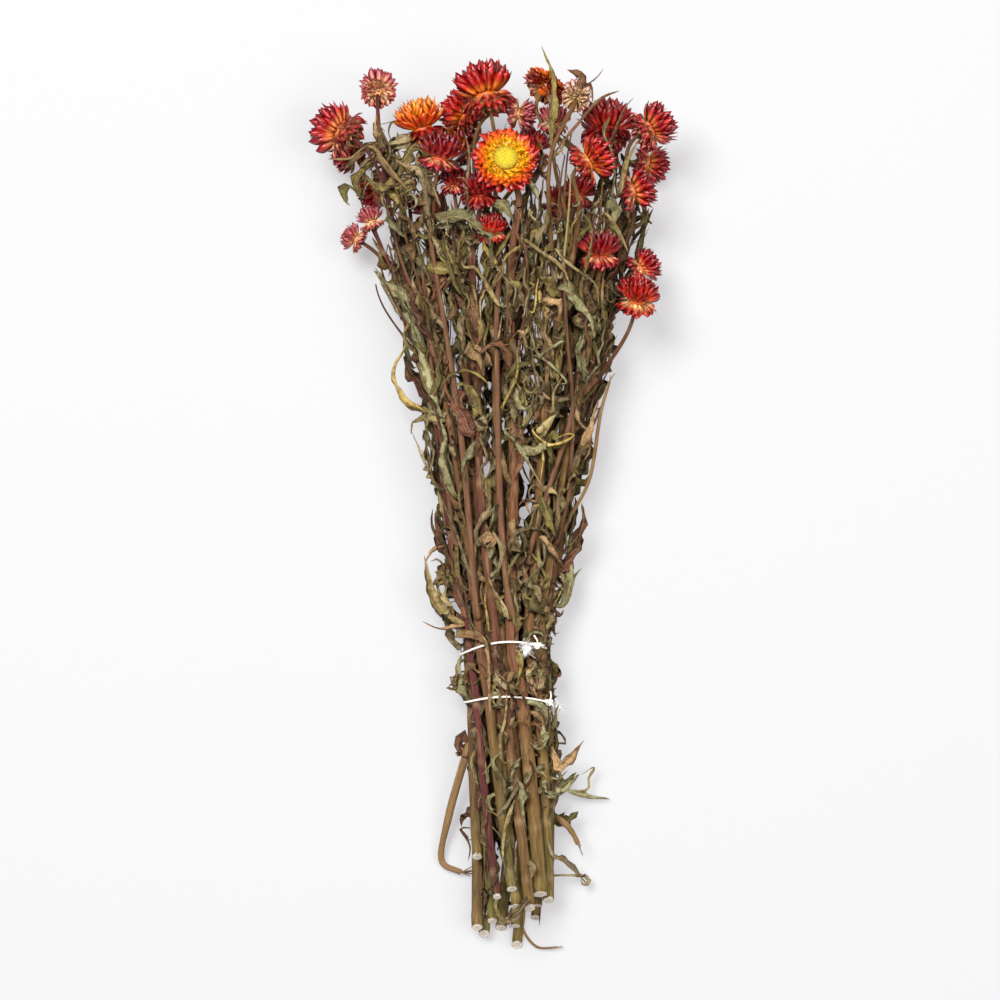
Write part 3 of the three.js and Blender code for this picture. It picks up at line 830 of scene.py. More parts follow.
@dataclass(frozen=True)
class Leaf:
    """A shrivelled leaf along its course; each side is folded, curled and torn by itself."""

    course: Array
    half: float
    facing: Array
    roll: float
    twist: float
    habit: Habit
    hue: Hue
    tone: float
    seed: int
    belly: float = 0.42
    row_gap: float = 2.8
    fewest_rows: int = 8
    most_rows: int = 26
    wavelength: float = 2.7
    half_thickness: float = 0.12
    edge_thinning: float = 0.6
    keel: float = 0.25
    keel_width: float = 0.15
    narrow: float = 1.3
    broad: float = 3.0
    root_width: float = 0.2
    tip_width: float = 0.03
    back_tone: float = 1.12
    unevenness: float = 0.8
    nicks: float = 0.7
    least_curl: float = 0.15

    def _columns(self) -> Array:
        """Places the points across a row, more of them on a broad leaf.

        Returns:
            Shares of the half width, from -1 to 1.
        """
        if self.half < self.narrow:
            return np.array([-1, -0.45, 0, 0.45, 1])
        if self.half < self.broad:
            return np.array([-1, -0.66, -0.28, 0, 0.28, 0.66, 1])
        return np.array([-1, -0.82, -0.55, -0.24, 0, 0.24, 0.55, 0.82, 1])

    def _profile(self, t: Array) -> Array:
        """Shapes the leaf's width from its root to its tip.

        Args:
            t: How far along the leaf, from 0 to 1.

        Returns:
            Shares of the full width.
        """
        rise = np.sin(ramp(t, 0.0, self.belly) * math.pi / 2) ** 1.3
        fall = ramp(1 - t, 0.0, 1 - self.belly) ** 0.7
        from_root = self.root_width + (1 - self.root_width) * rise
        return np.minimum(from_root, self.tip_width + (1 - self.tip_width) * fall)

    def _rows(self, length: float) -> int:
        """How many rows of points a leaf of some length has."""
        return int(np.clip(round(length / self.row_gap), self.fewest_rows, self.most_rows))

    def _tints(self, blend: Array, shade: float) -> Array:
        """Colours the upper side and then the paler back.

        Args:
            blend: How far each point of the upper side has turned to the second colour.
            shade: The leaf's own number.

        Returns:
            A tint for each point of each ring.
        """
        first, second = (rgb(*tone) * self.tone for tone in self.hue.value)
        top = first + (second - first) * blend[..., None]
        both = np.concatenate([top, top[:, -2:0:-1] * self.back_tone], axis=1)
        return np.concatenate([both, np.full((*both.shape[:2], 1), shade)], axis=-1)

    def _spine(self, t: Array, rng: Rng) -> tuple[Array, Array, Array]:
        """Runs the leaf's middle line, wrung to and fro.

        Args:
            t: Places from root to tip.
            rng: What its wringing is drawn from.

        Returns:
            The middle, the way out to its right side and the way up, at each place.
        """
        middle = flowing(self.course, t)
        tangents = directions(middle)
        across = carried(tangents, np.cross(self.facing, tangents[0]))
        wrung = self.habit.value.wring * drifting(rng, len(t), 1, 5)[:, 0]
        out = turned(across, tangents, np.radians(self.roll + self.twist * t) + wrung)
        return middle, out, np.cross(out, tangents)

    def _section(self, t: Array, s: Array, length: float, rng: Rng) -> tuple[Array, Array, Array]:
        """Shapes the leaf's cross-section at each place.

        Args:
            t: Places from root to tip.
            s: Places across, from -1 to 1.
            length: How long the leaf is.
            rng: What its folds and tears are drawn from.

        Returns:
            How far sideways and up each point lies, and how far its side is bent.
        """
        habit, rows, columns, side = self.habit.value, len(t), len(s), (s > 0).astype(int)
        torn = 1 + habit.tear * drifting(rng, rows, 2, 7)
        torn = torn + self.nicks * habit.tear * rng.uniform(-1, 0.8, (rows, 2))
        width = (self.half * self._profile(t)[:, None] * torn)[:, side]
        fold = (habit.fold * (1 + self.unevenness * drifting(rng, rows, 2, 4)))[:, side]
        curl = habit.curl * rng.uniform(-0.5, 1.2, 2)
        curl = (curl + self.unevenness * drifting(rng, rows, 2, 4))[:, side]
        curl = np.where(np.abs(curl) < self.least_curl, self.least_curl, curl)
        bend = fold + curl * np.abs(s)
        sideways = np.sign(s) * width * (np.sin(bend) - np.sin(fold)) / curl
        lift = width * (np.cos(fold) - np.cos(bend)) / curl
        coarse = 0.7 * drifting(rng, rows, columns, 6)
        fine = 0.5 * drifting(rng, rows, columns, rows // 2 + 2)
        lift = lift + (coarse + fine) * (0.25 + np.abs(s)) * habit.crumple * width
        phase = length * t[:, None] / (self.wavelength * self.half) + rng.random(2)
        lift = lift + (habit.wave * np.sin(2 * math.pi * phase))[:, side] * s**2 * width
        return sideways, lift - lift.mean(), bend

    def pour(self, mould: Mould, finish: int = 0) -> None:
        """Adds the leaf to a mould.

        Args:
            mould: What it is added to.
            finish: The number of the material.
        """
        rng = np.random.default_rng(self.seed)
        length = float(np.linalg.norm(np.diff(self.course, axis=0), axis=1).sum())
        rows, s = self._rows(length), self._columns()
        t = np.linspace(0, 1, rows)
        middle, out, up = self._spine(t, rng)
        sideways, lift, bend = self._section(t, s, length, rng)
        surface = middle[:, None] + out[:, None] * sideways[..., None]
        surface = surface + up[:, None] * lift[..., None]
        turn = (np.sign(s) * bend)[..., None]
        normal = up[:, None] * np.cos(turn) - out[:, None] * np.sin(turn)
        thick = self.half_thickness * (1 - self.edge_thinning * s**2)
        keel = self.keel * np.exp(-((s / self.keel_width) ** 2)) * np.sqrt(1.02 - t)[:, None]
        top = surface + normal * thick[:, None]
        back = surface - normal * (thick + keel)[..., None]
        rings = np.concatenate([top, back[:, -2:0:-1]], axis=1)
        order = np.concatenate([s, s[-2:0:-1]])
        shade = rng.random()
        turned_share = rng.uniform(0.2, 0.8)
        drift = 0.9 * drifting(rng, rows, 2, 4)[:, (s > 0).astype(int)]
        blend = np.clip(turned_share + drift, 0, 1)
        place = np.stack(np.broadcast_arrays(order, t[:, None], shade), axis=-1)
        mould.add(rings, skin(rows, len(order)), self._tints(blend, shade), place, finish)


# ---- Finishes ----


class Sheet:
    """A material's node tree, with short ways to add and join nodes."""

    def __init__(self, name: str) -> None:
        """Starts a material of some name with a bare surface shader.

        Args:
            name: The material's name.
        """
        self.material = bpy.data.materials.new(name)
        self.material.use_nodes = True
        self.tree = self.material.node_tree
        self.tree.nodes.clear()
        self.shader = self.tree.nodes.new("ShaderNodeBsdfPrincipled")
        output = self.tree.nodes.new("ShaderNodeOutputMaterial")
        self.tree.links.new(self.shader.outputs[0], output.inputs["Surface"])

    def _fill(self, socket: Socket, value: object) -> None:
        """Joins an input to a socket, or sets it to a constant.

        Args:
            socket: The input.
            value: An output or a constant.
        """
        if isinstance(value, Socket):
            self.tree.links.new(value, socket)
        else:
            socket.default_value = value

    def node(
        self, kind: str, inputs: dict[int | str, object] | None = None, **values: object
    ) -> bpy.types.Node:
        """Adds a node.

        Args:
            kind: Its type, without the leading words.
            inputs: Numbers, or sockets to join, by input name or number.
            **values: The node's own settings.

        Returns:
            The node.
        """
        node = self.tree.nodes.new("ShaderNode" + kind)
        for name, value in values.items():
            setattr(node, name, value)
        for key, value in (inputs or {}).items():
            self._fill(node.inputs[key], value)
        return node

    def attribute(self, name: str) -> bpy.types.Node:
        """Reads a value that the mesh carries."""
        return self.node("Attribute", attribute_name=name)

    def tint(self) -> Socket:
        """Reads the colour that the mesh carries."""
        return self.attribute("tint").outputs["Color"]

    def place(self) -> Socket:
        """Reads the place on the leaf, bract or stem that the mesh carries."""
        return self.attribute("place").outputs["Vector"]

    def object_place(self) -> Socket:
        """Reads the place in the piece, in metres."""
        return self.node("TexCoord").outputs["Object"]

    def parts(self, vector: Socket) -> list[Socket]:
        """Splits a vector or a colour into its three numbers."""
        return list(self.node("SeparateXYZ", {0: vector}).outputs)

    def math(self, operation: str, *values: object) -> Socket:
        """Works out a number from numbers or sockets."""
        return self.node("Math", dict(enumerate(values)), operation=operation).outputs[0]

    def mapped(self, value: Socket, low: float, high: float, to: tuple[float, ...]) -> Socket:
        """Maps a span of values smoothly to another."""
        inputs = {0: value, 1: low, 2: high, 3: to[0], 4: to[1]}
        return self.node("MapRange", inputs, interpolation_type="SMOOTHSTEP").outputs[0]

    def noise(self, vector: Socket, scale: float, detail: float) -> Socket:
        """Adds noise over a vector."""
        inputs = {"Vector": vector, "Scale": scale, "Detail": detail}
        return self.node("TexNoise", inputs).outputs[0]

    def mix(self, factor: object, a: object, b: object, blend: str = "MIX") -> Socket:
        """Mixes two colours."""
        inputs = {0: factor, 6: a, 7: b}
        return self.node("Mix", inputs, data_type="RGBA", blend_type=blend).outputs[2]

    def times(self, colour: Socket, factor: object) -> Socket:
        """Multiplies a colour by another."""
        return self.mix(1.0, colour, factor, "MULTIPLY")

    def scaled(self, vector: Socket, scale: tuple[float, ...]) -> Socket:
        """Scales a vector."""
        return self.node("VectorMath", {0: vector, 1: scale}, operation="MULTIPLY").outputs[0]

    def bump(self, height: Socket, strength: float, distance: float) -> Socket:
        """Turns heights into a bump, whose distance is in millimetres."""
        inputs = {"Height": height, "Strength": strength, "Distance": distance * MM}
        return self.node("Bump", inputs).outputs[0]

    def finish(
        self, colour: Socket, roughness: object, normal: Socket, **constants: object
    ) -> Material:
        """Joins the shader up.

        Args:
            colour: The base colour.
            roughness: A number or a socket.
            normal: The bumped normal.
            **constants: Other shader inputs, with underscores for spaces.

        Returns:
            The material.
        """
        inputs = {"Base_Color": colour, "Normal": normal, "Roughness": roughness, **constants}
        for name, value in inputs.items():
            self._fill(self.shader.inputs[name.replace("_", " ")], value)
        return self.material


@dataclass(frozen=True)
class BractFinish:
    """Dry papery bracts with fine lengthwise lines, darker edges and a silky gloss."""

    line_scale: tuple[float, ...] = (4.5, 0.7, 61)
    cloud_scale: tuple[float, ...] = (0.8, 1.6, 37)
    streak: float = 0.38
    cloud_tones: tuple[float, float] = (0.38, 1.06)
    warmth: float = 0.6
    line_depth: float = 0.12
    roughness: tuple[float, float] = (0.28, 0.46)
    edge: tuple[float, ...] = (0.78, 0.38, 0.32, 1)
    midrib: tuple[float, ...] = (0.14, 0.035, 0.02, 1)

    def make(self, name: str) -> Material:
        """Makes the material.

        Args:
            name: The material's name.

        Returns:
            The material.
        """
        sheet = Sheet(name)
        tint = sheet.tint()
        place = sheet.place()
        side = sheet.math("ABSOLUTE", sheet.parts(place)[0])
        streaks = sheet.noise(sheet.scaled(place, self.line_scale), 2.2, 4)
        cloud = sheet.noise(sheet.scaled(place, self.cloud_scale), 1.5, 2)
        pale = sheet.mapped(streaks, 0.35, 0.75, (1 - self.streak, 1 + self.streak))
        deep = sheet.mapped(cloud, 0.32, 0.68, self.cloud_tones)
        shade = sheet.math("MULTIPLY", pale, deep)
        warm = sheet.math("POWER", shade, self.warmth)
        factor = sheet.node("CombineXYZ", {0: warm, 1: shade, 2: shade}).outputs[0]
        colour = sheet.times(tint, factor)
        dark = sheet.times(colour, self.edge)
        # Pale bracts have less of a dark border than red ones.
        green = sheet.parts(tint)[1]
        rim = sheet.mapped(side, 0.55, 1.0, (0, 0.55))
        border = sheet.math("MULTIPLY", rim, sheet.mapped(green, 0.1, 0.5, (1, 0.25)))
        colour = sheet.mix(border, colour, dark)
        middle = sheet.mapped(side, 0.0, 0.45, (0.8, 0))
        colour = sheet.mix(middle, colour, self.midrib, "ADD")
        gloss = sheet.mapped(cloud, 0.3, 0.7, self.roughness)
        return sheet.finish(
            colour,
            gloss,
            sheet.bump(streaks, 0.7, self.line_depth),
            Specular_IOR_Level=0.34,
            Coat_Weight=0.1,
            Coat_Roughness=0.15,
            Subsurface_Weight=0.22,
            Subsurface_Radius=(0.8, 0.2, 0.08),
            Subsurface_Scale=0.0012,
        )


@dataclass(frozen=True)
class LeafFinish:
    """Shrivelled leaf: mottled, with a fine pale midrib, side veins and browned edges."""

    rib: tuple[float, ...] = (*rgb(170, 146, 102), 1)
    edge: tuple[float, ...] = (*rgb(74, 50, 32), 1)
    lip: tuple[float, ...] = (*rgb(184, 164, 118), 1)
    bloom: tuple[float, ...] = (*rgb(140, 130, 98), 1)
    browning: tuple[float, ...] = (0.36, 0.27, 0.2, 1)
    vein_count: float = 13.0
    vein_slant: float = -0.16
    roughness: tuple[float, float] = (0.6, 0.85)

    def make(self, name: str) -> Material:
        """Makes the material.

        Args:
            name: The material's name.

        Returns:
            The material.
        """
        sheet = Sheet(name)
        tint = sheet.tint()
        place = sheet.place()
        across, along = sheet.parts(place)[:2]
        side = sheet.math("ABSOLUTE", across)
        inside = sheet.object_place()
        mottle = sheet.noise(inside, 300, 5)
        crinkle = sheet.noise(inside, 1300, 3)
        patches = sheet.noise(sheet.scaled(place, (1.1, 3.0, 53)), 1.4, 3)
        colour = sheet.mix(sheet.mapped(patches, 0.5, 0.75, (0, 0.4)), tint, self.bloom)
        brown = sheet.times(colour, self.browning)
        colour = sheet.mix(sheet.mapped(mottle, 0.47, 0.63, (0.0, 0.75)), colour, brown)
        rim = sheet.mapped(side, 0.7, 1, (0, 0.8))
        rim = sheet.math("MULTIPLY", rim, sheet.mapped(mottle, 0.4, 0.55, (0.1, 1)))
        colour = sheet.mix(rim, colour, self.edge)
        lip = sheet.mapped(side, 0.9, 1, (0, 0.75))
        lip = sheet.math("MULTIPLY", lip, sheet.mapped(patches, 0.42, 0.56, (0, 1)))
        colour = sheet.mix(lip, colour, self.lip)
        colour = sheet.mix(sheet.mapped(side, 0.03, 0.1, (0.55, 0)), colour, self.rib)
        run = sheet.math("MULTIPLY_ADD", side, self.vein_slant, along)
        wave = sheet.math("SINE", sheet.math("MULTIPLY", run, self.vein_count * 2 * math.pi))
        vein = sheet.mapped(wave, 0.75, 1, (0, 1))
        colour = sheet.mix(sheet.math("MULTIPLY", vein, 0.15), colour, self.rib)
        height = sheet.math("MULTIPLY", crinkle, 0.8)
        height = sheet.math("ADD", height, sheet.math("MULTIPLY", vein, -0.35))
        normal = sheet.bump(sheet.math("ADD", height, mottle), 1.0, 1.3)
        roughness = sheet.mapped(mottle, 0.3, 0.7, self.roughness)
        return sheet.finish(colour, roughness, normal, Specular_IOR_Level=0.18)


@dataclass(frozen=True)
class StemFinish:
    """Dry stem with lengthwise fibres, scuffs, darker patches and pale leaf scars."""

    scuff: tuple[float, ...] = (*rgb(146, 120, 74), 1)
    scar: tuple[float, ...] = (*rgb(170, 138, 100), 1)
    shadow: tuple[float, ...] = (0.4, 0.33, 0.3, 1)
    roughness: tuple[float, float] = (0.5, 0.72)

    def make(self, name: str) -> Material:
        """Makes the material.

        Args:
            name: The material's name.

        Returns:
            The material.
        """
        sheet = Sheet(name)
        both = sheet.attribute("tint")
        tint = both.outputs["Color"]
        place = sheet.place()
        fibres = sheet.noise(sheet.scaled(place, (5, 5, 0.35)), 2.4, 5)
        patches = sheet.noise(sheet.scaled(place, (1.1, 1.1, 0.5)), 1.3, 3)
        grain = sheet.noise(sheet.object_place(), 1800, 3)
        dark = sheet.times(tint, self.shadow)
        colour = sheet.mix(sheet.mapped(fibres, 0.38, 0.6, (0.95, 0)), tint, dark)
        colour = sheet.mix(sheet.mapped(patches, 0.5, 0.75, (0, 0.5)), colour, self.scuff)
        colour = sheet.mix(sheet.mapped(patches, 0.3, 0.44, (0.7, 0)), colour, dark)
        grained = sheet.mapped(grain, 0.3, 0.6, (0.3, 0.9))
        scar = sheet.math("MULTIPLY", both.outputs["Alpha"], grained)
        colour = sheet.mix(scar, colour, self.scar)
        height = sheet.math("ADD", fibres, sheet.math("MULTIPLY", grain, 0.2))
        normal = sheet.bump(height, 0.8, 0.6)
        roughness = sheet.mapped(patches, 0.3, 0.7, self.roughness)
        return sheet.finish(colour, roughness, normal, Specular_IOR_Level=0.22)


@dataclass(frozen=True)
class CutFinish:
    """The pale, fibrous face of a cut stem."""

    pith: tuple[float, ...] = (0.5, 0.4, 0.34, 1)

    def make(self, name: str) -> Material:
        """Makes the material.

        Args:
            name: The material's name.

        Returns:
            The material.
        """
        sheet = Sheet(name)
        tint = sheet.tint()
        grain = sheet.noise(sheet.object_place(), 1600, 4)
        dark = sheet.times(tint, self.pith)
        colour = sheet.mix(sheet.mapped(grain, 0.42, 0.66, (0, 0.6)), tint, dark)
        return sheet.finish(colour, 0.9, sheet.bump(grain, 0.9, 0.5))


@dataclass(frozen=True)
class FloretFinish:
    """The matt, grainy middle of an open head."""

    shadow: tuple[float, ...] = (0.62, 0.5, 0.3, 1)

    def make(self, name: str) -> Material:
        """Makes the material.

        Args:
            name: The material's name.

        Returns:
            The material.
        """
        sheet = Sheet(name)
        tint = sheet.tint()
        grain = sheet.noise(sheet.object_place(), 1500, 3)
        dark = sheet.times(tint, self.shadow)
        colour = sheet.mix(sheet.mapped(grain, 0.4, 0.7, (0, 0.6)), tint, dark)
        return sheet.finish(colour, 0.75, sheet.bump(grain, 0.5, 0.3))


@dataclass(frozen=True)
class CottonFinish:
    """Undyed cotton string."""

    shadow: tuple[float, ...] = (0.72, 0.68, 0.6, 1)

    def make(self, name: str) -> Material:
        """Makes the material.

        Args:
            name: The material's name.

        Returns:
            The material.
        """
        sheet = Sheet(name)
        tint = sheet.tint()
        fibres = sheet.noise(sheet.scaled(sheet.place(), (2, 2, 4)), 2.5, 4)
        dark = sheet.times(tint, self.shadow)
        colour = sheet.mix(sheet.mapped(fibres, 0.4, 0.7, (0, 0.7)), tint, dark)
        return sheet.finish(colour, 0.85, sheet.bump(fibres, 0.6, 0.2), Sheen_Weight=0.3)


@dataclass(frozen=True)
class Finishes:
    """Every material, made once."""

    bract: Material = field(default_factory=lambda: BractFinish().make("papery_bract"))
    leaf: Material = field(default_factory=lambda: LeafFinish().make("dried_leaf"))
    stem: Material = field(default_factory=lambda: StemFinish().make("dry_stem"))
    cut: Material = field(default_factory=lambda: CutFinish().make("cut_face"))
    floret: Material = field(default_factory=lambda: FloretFinish().make("florets"))
    cotton: Material = field(default_factory=lambda: CottonFinish().make("cotton"))


# ---- Flower heads ----


@dataclass(frozen=True)
class BractRow:
    """A row of bracts: tips and bases by radius and height, in head radii."""

    tip: tuple[float, float]
    base: tuple[float, float]
    share: float
    half: float


FULL_ROWS = (
    BractRow((0.08, 0.92), (0.1, 0.22), 0.35, 0.18),
    BractRow((0.26, 0.99), (0.18, 0.2), 0.5, 0.18),
    BractRow((0.48, 0.98), (0.25, 0.17), 0.7, 0.18),
    BractRow((0.7, 0.88), (0.3, 0.13), 0.9, 0.18),
    BractRow((0.87, 0.72), (0.34, 0.08), 1, 0.175),
    BractRow((0.98, 0.46), (0.37, 0.02), 1, 0.17),
    BractRow((0.88, -0.36), (0.37, -0.1), 1, 0.165),
    BractRow((0.75, -0.5), (0.32, -0.17), 0.9, 0.16),
    BractRow((0.52, -0.55), (0.23, -0.25), 0.75, 0.14),
    BractRow((0.28, -0.5), (0.12, -0.34), 0.45, 0.1),
)
OPEN_ROWS = (
    BractRow((0.47, 0.2), (0.33, 0.13), 1.2, 0.1),
    BractRow((0.57, 0.22), (0.35, 0.11), 1.2, 0.11),
    BractRow((0.69, 0.26), (0.38, 0.07), 1.15, 0.105),
    BractRow((0.8, 0.23), (0.4, 0.04), 1.1, 0.115),
    BractRow((0.91, 0.15), (0.41, 0.0), 1, 0.12),
    BractRow((1.0, 0.02), (0.41, -0.04), 1, 0.12),
    BractRow((0.94, -0.14), (0.38, -0.1), 0.9, 0.125),
    BractRow((0.74, -0.31), (0.32, -0.18), 0.75, 0.11),
    BractRow((0.5, -0.4), (0.22, -0.27), 0.6, 0.1),
)


@dataclass
class FlowerHead:
    """A head: rows of papery bracts round a waisted core.

    Each fade of colour is its start and its run, from a bract's base to its tip or, in
    an open head, from the head's axis outward.
    """

    plan: HeadPlan
    finishes: Finishes
    steps: int = 7
    full_count: float = 12.5
    open_count: float = 22.0
    count_per_mm: float = 0.3
    fewest: int = 5
    stagger: float = 0.382
    unevenness: float = 0.6
    lean: float = 0.085
    roll: float = 0.36
    half_thickness: float = 0.07
    cup: float = 0.3
    breadth: float = 1.06
    core_sides: int = 14
    skirt_level: float = 0.6
    girdle_fade: tuple[float, float] = (0.2, 0.3)
    tip_fade: tuple[float, float] = (0.62, 0.38)
    open_fade: tuple[float, float] = (0.5, 0.16)
    open_tip_fade: tuple[float, float] = (0.66, 0.18)
    hem_run: float = 0.28
    inner_levels: float = 0.5
    outline: tuple[tuple[float, float], ...] = (
        (0, 0.5),
        (0.25, 0.74),
        (0.5, 1),
        (0.68, 0.88),
        (0.84, 0.5),
        (0.94, 0.2),
        (1, 0.03),
    )
    core: tuple[tuple[float, float], ...] = (
        (-0.39, 0.03),
        (-0.36, 0.12),
        (-0.15, 0.3),
        (0, 0.36),
        (0.06, 0.3),
        (0.1, 0.04),
    )

    def _count(self, row: BractRow) -> int:
        """How many bracts a row has.

        Args:
            row: The row.

        Returns:
            The number of bracts.
        """
        whole = self.open_count if self.plan.is_open else self.full_count
        whole += self.count_per_mm * self.plan.radius
        return max(self.fewest, round(whole * row.share))

    def _colours(self, level: float, r: Array, t: Array, swing: Array) -> Array:
        """Colours a row of bracts.

        Args:
            level: 0 at the innermost row, 1 at the lowest.
            r: How far out each place lies, in head radii.
            t: Places from base to tip.
            swing: A number round zero for each bract.

        Returns:
            A tint for each bract and place.
        """
        c = self.plan.palette.value
        swing = swing[:, None, None]
        share = np.broadcast_to(t[None, :, None], (*r.shape, 1))
        to_tip = ramp(share, *self.tip_fade, 0.2 * swing)
        if level == 1:
            colour = CALYX + 0 * share
        elif level >= self.skirt_level:
            from_hem = ramp(share, c.hem_reach, self.hem_run, 0.15 * swing)
            colour = c.hem + (c.under - c.hem) * from_hem
            colour = colour + (c.tip - colour) * 0.85 * to_tip
        elif self.plan.is_open:
            far = r[..., None] + 0.12 * swing
            colour = c.inner + (c.outer - c.inner) * ramp(far, *self.open_fade)
            colour = colour + (c.tip - colour) * ramp(far, *self.open_tip_fade)
        else:
            body = c.inner + (c.outer - c.inner) * ramp(level, 0.0, self.inner_levels)
            from_girdle = ramp(share, *self.girdle_fade, 0.15 * swing)
            colour = c.girdle + (body - c.girdle) * from_girdle
            colour = colour + (c.tip - colour) * to_tip * 1.1
        colour = colour * (1 + 0.3 * swing)
        shade = np.broadcast_to(np.abs(swing), (*r.shape, 1))
        return np.concatenate([colour, shade], axis=-1)

    def _arcs(self, row: BractRow, number: int, rng: Rng) -> tuple[Array, Array, Array]:
        """Draws the arc of each bract of a row, from its base over its bow to its tip.

        Args:
            row: The row's form.
            number: Its number, which staggers it.
            rng: Where its differences are drawn from.

        Returns:
            Each bract's angle, and how far out and how high each of its places lies.
        """
        count = self._count(row)
        angle = (np.arange(count) + number * self.stagger) * 2 * math.pi / count
        angle = angle + rng.normal(0, self.unevenness / count, count)
        tip_r = row.tip[0] * rng.uniform(0.86, 1.03, count)
        tip_h = row.tip[1] + rng.uniform(-0.1, 0.07, count)
        bow_r = 0.72 * tip_r + 0.12 + rng.uniform(-0.03, 0.05, count)
        bow_h = row.base[1] + rng.uniform(0.3, 0.52, count) * (tip_h - row.base[1])
        share = np.linspace(0, 1, self.steps)[None]
        parts = ((1 - share) ** 2, 2 * share * (1 - share), share**2)
        r = parts[0] * row.base[0] + parts[1] * bow_r[:, None] + parts[2] * tip_r[:, None]
        h = parts[0] * row.base[1] + parts[1] * bow_h[:, None] + parts[2] * tip_h[:, None]
        return angle, r, h

    def _pour_row(
        self, mould: Mould, row: BractRow, number: int, level: float, rng: Rng
    ) -> None:
        """Adds one row of bracts.

        Args:
            mould: What it is added to.
            row: The row's form.
            number: Its number, which staggers it.
            level: 0 at the innermost row, 1 at the lowest.
            rng: Where its differences are drawn from.
        """
        angle, r, h = self._arcs(row, number, rng)
        count, radius = len(angle), self.plan.radius
        t = np.linspace(0, 1, self.steps)
        slope = unit(np.stack([np.gradient(r, axis=1), np.gradient(h, axis=1)], axis=-1))
        outward = np.stack([np.cos(angle), np.sin(angle), 0 * angle], axis=-1)[:, None]
        sideways = np.stack([-np.sin(angle), np.cos(angle), 0 * angle], axis=-1)[:, None]
        normal = slope[..., :1] * UP - slope[..., 1:] * outward
        lean = rng.normal(0, self.lean, count)[:, None] * t**2
        roll = rng.normal(0, self.roll, count)[:, None, None]
        side = sideways * np.cos(roll) + normal * np.sin(roll)
        face = normal * np.cos(roll) - sideways * np.sin(roll)
        half = self.breadth * row.half * rng.uniform(0.85, 1.2, count)[:, None]
        half = (half * np.interp(t, *np.array(self.outline).T))[..., None]
        middle = outward * r[..., None] + UP * h[..., None] + sideways * lean[..., None]
        edges = self.cup * half * face
        thick = self.half_thickness / radius * face
        corners = (
            middle - side * half + edges,
            middle + thick,
            middle + side * half + edges,
            middle - thick,
        )
        points = np.stack(corners, axis=2) * radius @ self.plan.turn.T + self.plan.mid
        first = (np.arange(count) * self.steps * len(corners))[:, None, None]
        faces = [
            (array[None] + first).reshape(-1, array.shape[1])
            for array in skin(self.steps, len(corners), inward=True)
        ]
        tint = self._colours(level, r, t, rng.uniform(-1, 1, count) * 0.6)[:, :, None]
        column = np.array([-1, 0, 1, 0])
        shade = rng.random(count)[:, None, None]
        place = np.stack(np.broadcast_arrays(column, t[:, None], shade), axis=-1)
        mould.add(points, faces, tint, place)

    def _pour_core(self, mould: Mould) -> None:
        """Adds the core that the bracts stand on.

        Args:
            mould: Where the faces go.
        """
        heights, radii = np.array(self.core).T * self.plan.radius
        points = self.plan.mid + self.plan.axis * heights[:, None]
        tint = shaded(self.plan.palette.value.girdle, 0.5)
        Tube(points, radii, self.core_sides).pour(mould, tint)

    def build(self) -> Piece:
        """Builds the head.

        Returns:
            The head's piece.
        """
        mould = Mould()
        rng = np.random.default_rng(1000 + self.plan.index)
        self._pour_core(mould)
        rows = OPEN_ROWS if self.plan.is_open else FULL_ROWS
        for number, row in enumerate(rows):
            self._pour_row(mould, row, number, number / (len(rows) - 1), rng)
        name = f"bloom_{self.plan.index + 1:02d}"
        piece = mould.cast(name, [self.finishes.bract])
        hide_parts(f"flower_head_{self.plan.index + 1:02d}")
        return piece


